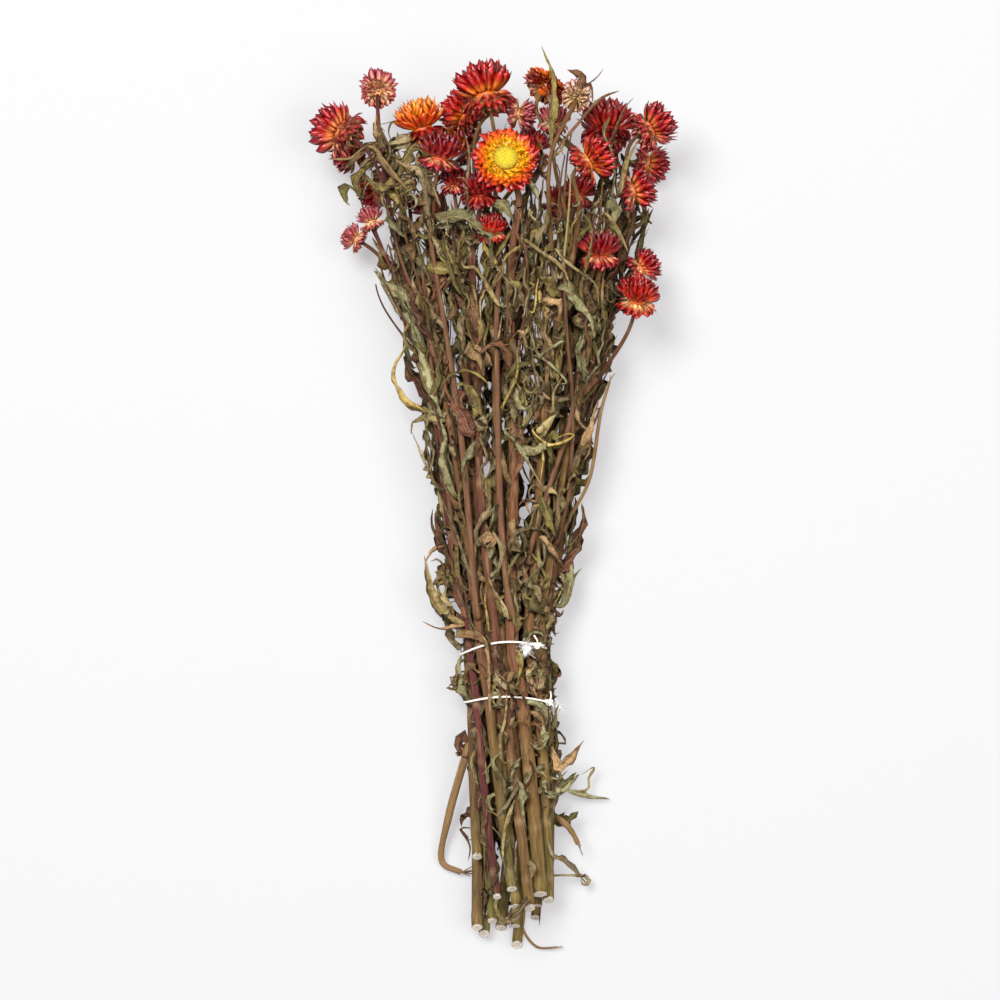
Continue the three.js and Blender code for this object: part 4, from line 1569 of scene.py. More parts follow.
@dataclass
class FloretDisc:
    """The dome of tiny florets in the middle of an open head.

    The profile is radii and heights, the dome's crown is heights at its middle, shoulder
    and rim, and a floret's own profile is radii at its steps. All but the last are in
    head radii.
    """

    plan: HeadPlan
    finishes: Finishes
    middle: Array = field(default_factory=lambda: rgb(216, 200, 12))
    ring: Array = field(default_factory=lambda: rgb(184, 160, 14))
    profile: tuple[tuple[float, float], ...] = (
        (0.02, 0),
        (0.29, 0),
        (0.33, 0.07),
        (0.29, 0.12),
        (0.21, 0.155),
        (0.12, 0.165),
        (0.02, 0.17),
    )
    sides: int = 24
    reach: float = 0.31
    crown: tuple[float, ...] = (0.17, 0.155, 0.1)
    shoulder: float = 0.6
    floor: float = 0.12
    floret: float = 0.42
    floret_steps: tuple[float, ...] = (0, 0.55, 0.85, 1.0)
    floret_radii: tuple[float, ...] = (0.9, 1, 0.8, 0.25)
    floret_sides: int = 6
    floret_rise: float = 0.7
    sunk: float = 0.15
    lean: float = 0.5
    ring_fade: tuple[float, float] = (0.55, 0.35)
    spacing: float = 0.8

    def build(self) -> Piece:
        """Builds the disc.

        Returns:
            The disc's piece.
        """
        mould = Mould()
        plan = self.plan
        radius = plan.radius
        base = plan.mid + plan.axis * (self.floor * radius + FORM.clearance)
        radii, heights = np.array(self.profile).T * radius
        dome = Tube(base + plan.axis * heights[:, None], radii, self.sides)
        dome.pour(mould, shaded(self.ring, 0.5))
        reach = self.reach * radius
        count = round((reach / self.spacing) ** 2 * math.pi)
        k = np.arange(count)
        r = reach * np.sqrt((k + 0.5) / count)
        angle = np.radians(k * GOLDEN_ANGLE)
        crown = np.array(self.crown) * radius
        height = np.interp(r, [0, self.shoulder * reach, reach], crown) - self.sunk
        rng = np.random.default_rng(1400 + plan.index)
        steps = np.array(self.floret_steps)[:, None]
        shape = self.floret * np.array(self.floret_radii)
        for i in range(count):
            local = np.array([r[i] * math.cos(angle[i]), r[i] * math.sin(angle[i]), height[i]])
            share = r[i] / reach
            lean = np.array([local[0], local[1], 0]) / reach * self.lean
            rise = self.floret_rise * rng.uniform(0.8, 1.15)
            points = (local + steps * rise * unit(UP + lean)) @ plan.turn.T + base
            colour = self.middle + (self.ring - self.middle) * ramp(share, *self.ring_fade)
            tint = shaded(colour * rng.uniform(0.85, 1.1), share)
            Tube(points, shape, self.floret_sides).pour(mould, tint)
        piece = mould.cast(f"florets_{plan.index + 1:02d}", [self.finishes.floret])
        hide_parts(f"flower_disc_{plan.index + 1:02d}")
        return piece


# ---- Leaves and stems ----


@dataclass(frozen=True)
class Stray:
    """A leaf or bare twig that stands out of the bunch, as the solids hold it.

    It starts at a y on its stem or at a point on a stalk. Its course is x, y and z by
    turns. The breadth is how wide it is drawn beside its solid. A bare twig has no hue,
    and half its width is its radius.
    """

    stem: int
    start: float | tuple[float, float, float]
    half: float
    course: tuple[float, ...]
    hue: Hue | None = None
    breadth: float = 1.0


# The order, stems, starts and courses are those of the solids.
STRAY_ROWS = (
    (
        0, 44, 2.6,
        (-39, 53, 34, -48, 59, 36, -54, 73, 39, -47, 89, 40, -49, 102, 42),
        STRAW, 0.9,
    ),
    (0, 70, 3.4, (-39, 94, 45, -43, 103, 46, -49, 112, 45), SAGE, 1.1),
    (0, 96, 4, (-48, 114, 42, -59, 123, 45, -64, 129, 44), SAGE, 1.2),
    (2, 138, 4.3, (-6, 150, 78, -16, 158, 81, -27, 156, 80), KHAKI, 1.1),
    (1, 158, 3.4, (-56, 183, 70, -66, 194, 74, -77, 188, 73, -88, 188, 68), DUN, 1.0),
    (0, 156, 3.6, (-51, 174, 62, -59, 173, 65, -66, 177, 65), OLIVE, 1.1),
    (1, 144, 3.6, (-37, 178, 76, -45, 183, 77, -52, 187, 75), GREY, 1.0),
    (4, (32, 188, 82), 1.9, (33, 206, 82, 34, 222, 79, 33, 235, 75, 27, 249, 70), OLIVE, 1.4),
    (4, (32, 188, 82), 1.9, (45, 203, 84, 58, 219, 83, 69, 224, 80), UMBER, 1.2),
    (4, 130, 2, (66, 176, 50, 67, 190, 58, 61, 204, 66, 65, 213, 68), DUN, 1.2),
    (3, 148, 2.6, (26, 138, 80, 39, 128, 77, 43, 113, 72), KHAKI, 0.8),
    (4, 106, 3.4, (32, 118, 72, 27, 125, 75, 21, 135, 76), OLIVE, 1.0),
    (5, 95, 2.4, (49, 116, 62, 53, 134, 77, 54, 150, 80, 47, 161, 79), OLIVE, 0.9),
    (2, 60, 3, (-2, 66, 64, -12, 73, 67, -22, 71, 64, -27, 65, 58), OLIVE, 0.6),
    (3, 70, 2.8, (8, 84, 69, 0, 87, 71, -7, 82, 68), UMBER, 1.1),
    (4, 71, 4.2, (33, 84, 64, 29, 94, 66, 31, 103, 68), DUN, 1.0),
    (0, -37, 2.8, (-28, 3, 33, -36, 22, 35, -45, 42, 33), KHAKI, 1.0),
    (0, -66, 3.8, (-28, -58, 28, -33, -44, 29, -37, -28, 27), KHAKI, 1.2),
    (11, -34, 2.4, (-29, -20, 20, -33, -12, 22, -33, -2, 25), UMBER, 1.2),
    (0, -66, 1.4, (-21, -67, 34, -29, -68, 36, -38, -64, 36), TAN, 1.8),
    (6, -41, 2.6, (41, -33, 26, 49, -24, 29, 49, -15, 32), RUSSET, 1.4),
    (6, -20, 1.1, (42, -9, 28, 54, 14, 32, 60, 50, 38, 65, 68, 40)),
    (6, 20, 3, (52, 38, 42, 59, 58, 44), TAN, 1.2),
    (5, -130, 2.8, (37, -143, 36, 43, -140, 36, 51, -130, 32), TAN, 1.3),
    (4, -150, 3, (32, -160, 42, 40, -157, 39, 48, -148, 34), SAGE, 1.4),
    (6, -146, 2.2, (41, -158, 14, 52, -162, 8, 66, -163, 4), SAGE, 1.9),
    (6, -166, 4, (37, -176, 14, 43, -176, 15, 48, -170, 16), MOSS, 1.3),
    (4, -182, 1.8, (33, -193, 36, 40, -197, 28, 47, -204, 16, 54, -212, 8), GREY, 1.6),
    (11, -128, 2.2, (-17, -148, 20, -24, -174, 12, -28, -198, 5, -17, -205, 4)),
    (2, -134, 2.2, (1, -140, 52, 7, -151, 53, 6, -163, 51), SAGE, 1.1),
    (2, -160, 2.4, (9, -170, 51, 6, -184, 51, 7, -195, 49), KHAKI, 1.1),
    (2, -215, 2.6, (12, -226, 43, 6, -229, 41, 1, -222, 38), GREY, 1.2),
    (7, -231, 0.8, (19, -240, 3.6, 26, -247, 3.4, 37, -247, 4)),
    (6, -170, 1.7, (40, -176, 22, 45, -182, 21, 48, -188, 20)),
)
STRAYS = tuple(Stray(*row) for row in STRAY_ROWS)
# How far a leaf that stands out may be lifted in its solid, first choice first.
LIFTS = (0, 1.5, -1.5, 3, -3, 5, -5)
# Thin side shoots that bear leaves but no head: stem, y where each leaves, and its end.
SPARE_SHOOTS = (
    (4, 60, (25, 152, 72)),
    (3, 44, (20, 132, 70)),
    (4, 16, (22, 112, 60)),
    (13, 40, (27, 158, 54)),
    (3, 92, (28, 176, 72)),
    (14, 60, (44, 160, 50)),
    (0, 62, (-62, 138, 46)),
    (0, 100, (-60, 186, 56)),
    (1, 70, (-48, 152, 66)),
    (1, 96, (-58, 196, 66)),
    (11, 60, (-64, 122, 28)),
    (11, 90, (-72, 168, 30)),
    (6, 40, (76, 150, 42)),
    (5, 70, (68, 166, 58)),
    (5, 90, (62, 192, 60)),
    (7, 50, (78, 148, 24)),
    (6, 6, (64, 92, 36)),
    (2, 60, (-22, 160, 72)),
    (2, 84, (-12, 190, 70)),
    (12, 70, (-34, 168, 58)),
    (1, 40, (-36, 120, 60)),
    (15, 60, (52, 190, 34)),
    (4, 80, (40, 190, 70)),
    (4, 92, (44, 204, 68)),
)



@dataclass(frozen=True)
class Laid:
    """A leaf or bare shoot that lies along the bunch's upper side, where it shows.

    The lift is how far it lies over the stems. The path is x and y by turns, from root
    to tip. A bare shoot has no habit, and half its width is its radius.
    """

    half: float
    hue: Hue
    habit: Habit | None
    lift: float
    path: tuple[float, ...]

    def course(self) -> Array:
        """Lays the path on the bunch's upper side.

        Returns:
            Its points.
        """
        x, y = np.array(self.path, float).reshape(-1, 2).T
        reach = (x - FORM.at(y, Part.MIDDLE)) / FORM.at(y, Part.ACROSS)
        dome = np.sqrt(np.maximum(0, FORM.waist_radius**2 - reach**2))
        z = FORM.middle_height(y) + FORM.at(y, Part.UPWARD) * dome + self.lift
        return np.column_stack([x, y, z])


# The shoots come first, and then the leaves. The order decides what each stem draws.
LAID_ROWS = (
    (
        2.2, UMBER, None, 1,
        (-8, -60, -10, -40, -13, 0, -17, 41, -21, 70, -25, 95, -30, 125, -34, 150),
    ),
    (1.5, UMBER, None, 0, (-20, -20, -24, 10, -28, 41, -34, 86, -36, 110, -38, 130, -42, 150)),
    (2.4, UMBER, None, 1, (11, -60, 8, -40, 5, -5, 3.5, 40, 3, 75, 3, 109, 5, 130)),
    (1.4, UMBER, None, 1, (36, -20, 40, -5, 43.4, 13.7, 44.5, 56, 42, 85, 40, 113, 40, 136)),
    (1.8, UMBER, None, 1, (20, -30, 26, -8, 33, 14, 41, 38, 46, 60, 51, 85)),
    (0.9, KHAKI, None, 2, (38, 124, 40, 140, 42, 160, 43, 179)),
    (1.3, UMBER, None, -1, (-26, 60, -31, 85, -36, 103, -44, 120, -50, 136, -54, 150)),
    (3.2, GREY, RIPPLED, 1, (-60, 193, -50, 186, -39, 180, -32, 173, -27, 162)),
    (4.2, SAGE, RIPPLED, 5, (-29, 153, -21, 157, -11, 154, -3, 146, 0, 137, 1, 127)),
    (4.0, SAGE, RIPPLED, -6, (-42, 92, -46, 104, -52, 113, -59, 122, -64, 131)),
    (3.4, KHAKI, RIPPLED, -5, (-30, 58, -36, 70, -41, 84, -45, 98)),
    (2.0, GREY, RIPPLED, 0, (-72, 186, -66, 192, -58, 196, -50, 193)),
    (2.2, OLIVE, RIPPLED, 0, (-74, 178, -68, 186, -60, 190)),
    (2.0, OLIVE, ROLLED, 2, (-42, 177, -47, 174, -55, 175, -62, 179)),
    (2.0, MOSS, RIPPLED, 1, (-42, 173, -52, 171, -60, 174)),
    (2.4, GREY, RIPPLED, 1, (-36, 181, -42, 179, -50, 180, -58, 185)),
    (2.6, UMBER, CRUMPLED, -4, (-52, 143, -50, 148, -52, 154, -57, 152)),
    (2.6, OLIVE, CRUMPLED, -6, (-57, 130, -59, 136, -62, 142, -66, 148)),
    (1.8, STRAW, ROLLED, 3, (3, 130, 0, 136, -4, 141, -2, 146, -6, 151)),
    (3.6, OLIVE, RIPPLED, 2, (-30, 129, -20, 127, -13, 122, -8, 118)),
    (2.8, SAGE, RIPPLED, 2, (-28, 50, -33, 68, -38, 82, -43, 95, -46, 106)),
    (1.9, GREY, ROLLED, 5, (-12, 159, -13, 170, -12.5, 181, -12, 191, -15, 201)),
    (2.4, SAGE, RIPPLED, 2, (4, 163, 9, 159, 12, 153)),
    (2.2, SAGE, RIPPLED, 2, (19, 175, 23, 170, 26, 164)),
    (1.3, RUSSET, ROLLED, 2, (16, 158, 13.5, 147, 18, 141, 19.5, 133, 18, 122)),
    (1.1, UMBER, ROLLED, 2, (20, 156, 20, 148, 15, 144)),
    (0.9, STRAW, ROLLED, 4, (23, 105, 24.5, 117, 27.5, 130, 30, 141)),
    (1.8, KHAKI, ROLLED, 4, (35, 139, 39, 133, 46, 128, 53, 124, 58, 118, 59, 108)),
    (4.2, SAGE, RIPPLED, 2, (40, 118, 47, 112, 53, 104, 56, 94)),
    (3.4, TAN, CRUMPLED, 1, (31, 111, 37, 109, 38, 102)),
    (1.8, KHAKI, ROLLED, 4, (5, 108, -0.5, 117, -5, 124, -9, 129, -15, 129, -17, 133)),
    (1.7, SAGE, ROLLED, 3, (3, 129, 8, 122, 13, 118, 12, 108)),
    (2.2, OLIVE, RIPPLED, 2, (-21, 132, -24, 140, -27, 149)),
    (2.8, SAGE, RIPPLED, 1, (64, 166, 68, 160, 66, 152, 71, 146)),
    (1.6, KHAKI, ROLLED, 2, (63, 158, 68, 152, 72, 144, 75, 138)),
    (1.2, OLIVE, ROLLED, 2, (48, 159, 43.5, 150, 45, 142)),
    (1.4, KHAKI, ROLLED, 3, (31, 188, 37, 191, 40, 198)),
    (2.4, UMBER, CRUMPLED, 2, (27, 178, 27, 190, 25, 200)),
    (2.6, GREY, ROLLED, 2, (-16, 101, -15, 88, -17, 78, -15, 71)),
    (3.0, DUN, CRUMPLED, 1, (-12, 87, -7, 80, -6, 71)),
    (2.4, KHAKI, RIPPLED, 1, (-30, 46, -36, 48, -43, 46, -44, 39)),
    (2.2, KHAKI, RIPPLED, 0, (-33, 51, -40, 53, -45, 54, -50, 58)),
    (2.7, SAGE, ROLLED, 3, (-20, 5, -24, 17, -27, 27, -25, 37, -29, 47)),
    (3.4, RUSSET, RIPPLED, 3, (-12, 40, -15, 48, -20, 55, -24, 61, -26, 68)),
    (2.5, OLIVE, RIPPLED, 4, (-7, 48, -9, 57, -11, 62, -15, 66, -20, 65)),
    (3.0, GREY, CRUMPLED, 2, (-10, 61, -6, 52, -3, 45, -4, 37)),
    (2.0, TAN, RIPPLED, 2, (-7, 86, -1.5, 82, -0.5, 76)),
    (1.1, TAN, ROLLED, 5, (4, 87, 4.5, 95, 5.5, 103)),
    (1.9, OLIVE, ROLLED, 3, (6, 52, 9.5, 61, 13.5, 70, 14, 80, 11, 90)),
    (2.3, MOSS, RIPPLED, 3, (7, 67, 12.5, 74, 22, 77, 27, 76)),
    (1.8, SAGE, ROLLED, 4, (41, 66, 37, 72, 30, 78, 24.5, 84, 22, 92, 19, 104)),
    (1.9, SAGE, RIPPLED, 4, (26, 81, 33, 86, 39, 90, 34, 92)),
    (3.6, SAGE, RIPPLED, 4, (52, 70, 48, 77, 47, 85, 51, 94)),
    (1.1, STRAW, ROLLED, 4, (22, 41, 28, 35, 33, 33, 40, 35, 45, 38, 41, 39, 34, 36)),
    (2.5, KHAKI, RIPPLED, 3, (27, 39, 30, 44, 36, 50)),
    (2.8, SAGE, CRUMPLED, 3, (18, 31, 24, 31, 29, 34, 26, 39)),
    (1.7, SAGE, ROLLED, 4, (7, 41, 13, 35, 18, 28, 22, 20, 27, 11, 30, 4)),
    (1.1, STRAW, ROLLED, 2, (27, 33, 28, 24, 26.5, 13)),
    (1.3, KHAKI, ROLLED, 4, (33, 52, 34, 61, 39, 70)),
    (1.2, TAN, ROLLED, 3, (28, 61, 33, 57, 37, 54)),
    (1.4, TAN, ROLLED, 3, (47, 57, 48, 46, 53, 40, 54, 30, 50, 24)),
    (2.2, KHAKI, CRUMPLED, 1, (42, 8, 44, 18, 48, 26, 49, 34)),
    (1.0, GREY, ROLLED, -3, (50, 63, 55, 70, 62, 76, 68, 85)),
    (2.4, SAGE, ROLLED, 3, (-11, -39, -14, -30, -17, -21, -21, -11, -26, 0, -30, 9)),
    (2.8, UMBER, RIPPLED, -4, (-27, -26, -28, -18, -30, -10, -31, -3)),
    (1.7, TAN, RIPPLED, -3, (-27, -23, -33, -25, -37, -33)),
    (3.8, KHAKI, CRUMPLED, -3, (-24, -62, -27, -55, -30, -46)),
    (3.0, RUSSET, RIPPLED, 0, (-14, -62, -17, -52, -20, -42, -22, -32)),
    (2.8, GREY, ROLLED, 3, (-6, -22, -8, -15, -5, -8, -1, -2, -2, 7)),
    (2.4, TAN, CRUMPLED, 4, (-5, -21, -2, -17, 2, -18, 1, -22, -3, -23, -4, -19)),
    (2.0, KHAKI, ROLLED, 4, (9, -62, 8, -57, 5, -52, 1, -46, -2, -39)),
    (1.1, STRAW, ROLLED, 3, (-1, -69, -2, -61, -3.5, -52, -2.5, -42)),
    (1.3, SAGE, RIPPLED, 4, (0, -39, 3, -36, 6, -32)),
    (1.6, OLIVE, ROLLED, 4, (30, -41, 26, -33, 22, -27, 17, -25, 12, -22, 8, -17)),
    (2.4, GREY, RIPPLED, 4, (32, -18, 28, -14, 22, -13, 16, -14, 10, -18)),
    (3.2, DUN, CRUMPLED, 2, (10, -42, 15, -45, 20, -43)),
    (2.2, GREY, CRUMPLED, 3, (20, -42, 25, -47, 27, -54)),
    (2.8, KHAKI, RIPPLED, 3, (33, 9, 37, 4, 39, -1, 36, -6)),
    (2.0, TAN, RIPPLED, 4, (29, -19, 33, -25, 37, -30, 40, -34)),
    (2.4, SAGE, RIPPLED, 1, (39, -56, 43, -46, 44, -36, 42, -24, 41, -13)),
    (1.2, SAGE, ROLLED, -2, (42, -44, 46, -39, 50, -35)),
    (3.2, MOSS, CRUMPLED, 1, (22, -51, 27, -57, 31, -64)),
    (3.2, DUN, CRUMPLED, 0, (30, -57, 33, -64, 34, -73)),
    (1.1, STRAW, ROLLED, 2, (32, -59, 36, -52, 40, -45)),
    (1.5, SAGE, ROLLED, 3, (19, -74, 23, -70, 28, -71, 30, -77)),
    (
        2.7, TAN, FLAT, 4.8,
        (-20, -71, -10, -70, -4, -73, -1.5, -80, -1, -92, -1, -106, 0, -120),
    ),
    (3.0, SAGE, CRUMPLED, 1, (-14, -106, -17, -96, -18, -88, -16, -80)),
    (2.6, DUN, CRUMPLED, 2, (23, -82, 28, -88, 32, -84)),
    (2.0, TAN, RIPPLED, 2, (24, -104, 22, -96, 20, -87)),
    (3.6, GREY, RIPPLED, 2, (25, -101, 27, -94, 31, -88)),
    (2.6, MOSS, CRUMPLED, 0, (34, -96, 34, -90, 32, -83)),
    (3.4, GREY, RIPPLED, 3, (2, -91, 7, -97, 12, -101, 16, -104)),
    (2.0, RUSSET, RIPPLED, 3, (5, -95, 9, -91, 13, -96)),
    (1.7, KHAKI, ROLLED, 3, (6, -141, 5, -129, 7, -120, 8, -112, 8, -102)),
    (0.8, OLIVE, ROLLED, 3, (10, -122, 15, -118, 20, -121, 21, -126)),
    (
        2.4, SAGE, RIPPLED, 2,
        (20, -108, 26, -110, 30, -115, 31, -123, 30, -130, 26, -134, 21, -130),
    ),
    (1.7, TAN, RIPPLED, 3, (23, -114, 28, -118, 31, -125)),
    (2.0, RUSSET, CRUMPLED, 1, (25, -120, 28, -124, 30, -128)),
    (1.4, OLIVE, ROLLED, -4, (32, -143, 36, -132, 35, -124, 35, -117)),
    (1.5, SAGE, ROLLED, 0, (19, -153, 22, -147, 28, -144, 35, -146, 38, -148)),
    (1.6, KHAKI, ROLLED, -2, (26, -147, 31, -150, 37, -152, 42, -147)),
    (2.0, OLIVE, RIPPLED, -8, (-14, -133, -17, -138, -20, -139)),
    (3.4, RUSSET, CRUMPLED, -7, (-12, -138, -16, -136, -18, -132, -14, -130, -12, -134)),
    (2.0, SAGE, RIPPLED, 2, (11, -150, 13, -143, 16, -138)),
    (0.8, STRAW, ROLLED, 2, (0, -142, -3, -146, -5, -148)),
    (3.2, UMBER, CRUMPLED, -10, (-10, -170, -15, -172, -17, -179)),
    (0.8, UMBER, ROLLED, -10, (-17, -180, -14, -185, -12, -191, -13, -198)),
    (2.8, SAGE, RIPPLED, 2, (14, -154, 10, -162, 6, -167, 4, -171)),
    (2.2, SAGE, RIPPLED, 2, (16, -157, 17, -168, 20, -178)),
    (1.2, RUSSET, ROLLED, -8, (35, -160, 31, -167, 29, -173)),
    (1.8, OLIVE, RIPPLED, -2, (2, -221, 5, -227, 10, -231)),
    (2.8, GREY, RIPPLED, 0, (20, -217, 15, -223, 9, -227, 4, -226)),
    (0.5, UMBER, ROLLED, 0, (47, 228, 47.5, 231, 49, 234)),
    (1.9, UMBER, RIPPLED, 0, (49, 230, 46, 234, 41, 236)),
    (0.6, UMBER, ROLLED, 0, (48, 228, 53, 229, 58, 233, 61, 237)),
    (0.6, UMBER, ROLLED, 0, (53, 229, 55, 222, 54, 216)),
    (1.6, SAGE, ROLLED, 6, (66, 169, 67, 181, 65, 193, 61, 201, 64, 210)),
    (1.2, UMBER, ROLLED, 8, (67, 203, 72, 215, 77, 221)),
    (1.8, KHAKI, ROLLED, 9, (69, 169, 73, 185, 81, 200)),
    (3.0, GREY, RIPPLED, 0, (-44, 200, -52, 196, -60, 190, -68, 184)),
    (3.2, OLIVE, CRUMPLED, 2, (-40, 196, -46, 190, -50, 182, -48, 174)),
    (2.6, DUN, RIPPLED, 0, (-62, 198, -70, 196, -76, 190, -81, 184)),
    (2.8, DUN, CRUMPLED, 1, (-30, 168, -38, 176, -44, 184, -54, 188)),
    (3.0, OLIVE, RIPPLED, 1, (-50, 166, -56, 172, -64, 176, -70, 182)),
    (2.0, GREY, CRUMPLED, -12, (50, -206, 53, -207, 54, -210, 51, -211, 50, -208)),
    (3.0, RUSSET, CRUMPLED, -4, (-13, -131, -17, -130, -19, -134, -16, -138)),
    (3.0, KHAKI, CRUMPLED, 1, (-20, -66, -22, -58, -26, -50, -25, -42)),
    (2.6, GREY, CRUMPLED, 1, (-20, -78, -23, -70, -25, -62)),
    (2.8, DUN, CRUMPLED, 1, (12, -60, 14, -68, 13, -78)),
    (2.4, UMBER, RIPPLED, 1, (4, -78, 4, -86, 7, -93)),
    (2.6, OLIVE, CRUMPLED, 2, (15, -80, 17, -87, 15, -95)),
    (2.8, SAGE, CRUMPLED, 1, (30, -118, 28, -127, 31, -135)),
    (2.4, SAGE, RIPPLED, -4, (26, -158, 34, -157, 41, -154, 47, -148)),
    (1.0, KHAKI, ROLLED, -12, (52, -159, 54, -152, 57, -146, 50, -150)),
    (2.4, SAGE, CRUMPLED, 1, (8, -182, 5, -190, 8, -200)),
)
LAID = tuple(Laid(*row) for row in LAID_ROWS)


@dataclass(frozen=True)
class Tangle:
    """Small torn and curled leaves that are caught together on the upper side."""

    x: float
    y: float
    lift: float
    spread: float
    count: int
    points: int = 6
    sizes: tuple[float, float] = (1.8, 5.0)
    stretch: tuple[float, float] = (1.0, 1.5)
    turns: tuple[float, float] = (1.4, 4.2)
    unevenness: float = 2.5
    halves: tuple[float, float] = (0.7, 2.4)

    def leaves(self, seed: int) -> list[Laid]:
        """Draws the leaves.

        Args:
            seed: What they are drawn from.

        Returns:
            The leaves.
        """
        rng = np.random.default_rng(seed)
        leaves = []
        for _ in range(self.count):
            middle = rng.normal((self.x, self.y), self.spread)
            size = rng.uniform(*self.sizes) * np.array(self.stretch)
            start = rng.uniform(0, 2 * math.pi)
            angle = start + np.linspace(0, rng.uniform(*self.turns), self.points)
            path = middle + size * np.column_stack([np.cos(angle), np.sin(angle)])
            hue = COMMON_HUES[rng.integers(len(COMMON_HUES))]
            habit = CURLED_HABITS[rng.integers(1, 4) - 1]
            lift = self.lift + rng.uniform(-self.unevenness, self.unevenness)
            half = rng.uniform(*self.halves)
            leaves.append(Laid(half, hue, habit, lift, tuple(path.ravel())))
        return leaves


TANGLE_ROWS = (
    (20, 50, 0, 10, 16),
    (20, 88, 0, 9, 8),
    (22, -48, 0, 7, 18),
    (31, -62, -2, 4, 10),
    (26, -92, 0, 5, 16),
    (26, -124, -3, 5, 12),
    (-50, 181, 0, 10, 20),
    (29, -8, 0, 8, 10),
    (46, 22, -5, 4, 8),
    (-8, 52, 0, 7, 8),
    (32, -150, -5, 6, 10),
    (-26, -42, -4, 4, 12),
    (-15, -92, -1, 3, 8),
    (8, -98, 1, 6, 10),
    (-12, 150, 0, 9, 8),
    (30, 150, 0, 12, 8),
    (-34, 120, -2, 8, 6),
    (55, 108, -4, 6, 8),
    (64, 150, -4, 5, 8),
    (10, -160, 0, 5, 6),
    (-66, 178, -2, 7, 10),
    (-38, 166, 0, 8, 10),
)
TANGLES = tuple(Tangle(*row) for row in TANGLE_ROWS)


@dataclass(frozen=True)
class LeafKind:
    """A kind of leaf that grows along a stem, with the least and most of its sizes."""

    share: float
    half: tuple[float, float]
    run: tuple[float, float]
    reach: tuple[float, float]
    habits: tuple[Habit, ...]


LEAF_KINDS = (
    LeafKind(0.38, (1.0, 2.0), (26, 66), (1, 5), (ROLLED, ROLLED, RIPPLED)),
    LeafKind(0.36, (2.0, 3.5), (20, 46), (2, 7), tuple(Habit)),
    LeafKind(0.26, (3.4, 6.0), (18, 38), (2, 7), (RIPPLED, RIPPLED, CRUMPLED)),
)
COMMON_HUES = (
    *(OLIVE,) * 4,
    *(DUN,) * 4,
    *(UMBER,) * 4,
    *(GREY,) * 3,
    *(MOSS,) * 3,
    *(RUSSET,) * 2,
    *(KHAKI,) * 2,
    *(SAGE,) * 2,
    TAN,
)
STEM_COLOURS = (
    rgb(105, 44, 40),
    rgb(122, 80, 47),
    rgb(107, 62, 42),
    rgb(124, 79, 49),
    rgb(122, 85, 45),
    rgb(133, 99, 49),
    rgb(109, 70, 42),
    rgb(122, 93, 47),
    rgb(96, 55, 40),
)
# The first of the feet is the first stem's, and the other stems share the rest.
STEM_FEET = (
    rgb(94, 43, 40),
    rgb(132, 118, 62),
    rgb(112, 108, 52),
    rgb(124, 98, 54),
    rgb(126, 108, 54),
)
CUT_PALE = rgb(250, 238, 222)
STEM_FINISH, LEAF_FINISH, CUT_FINISH = range(3)  # a leafy stem's materials, in their order


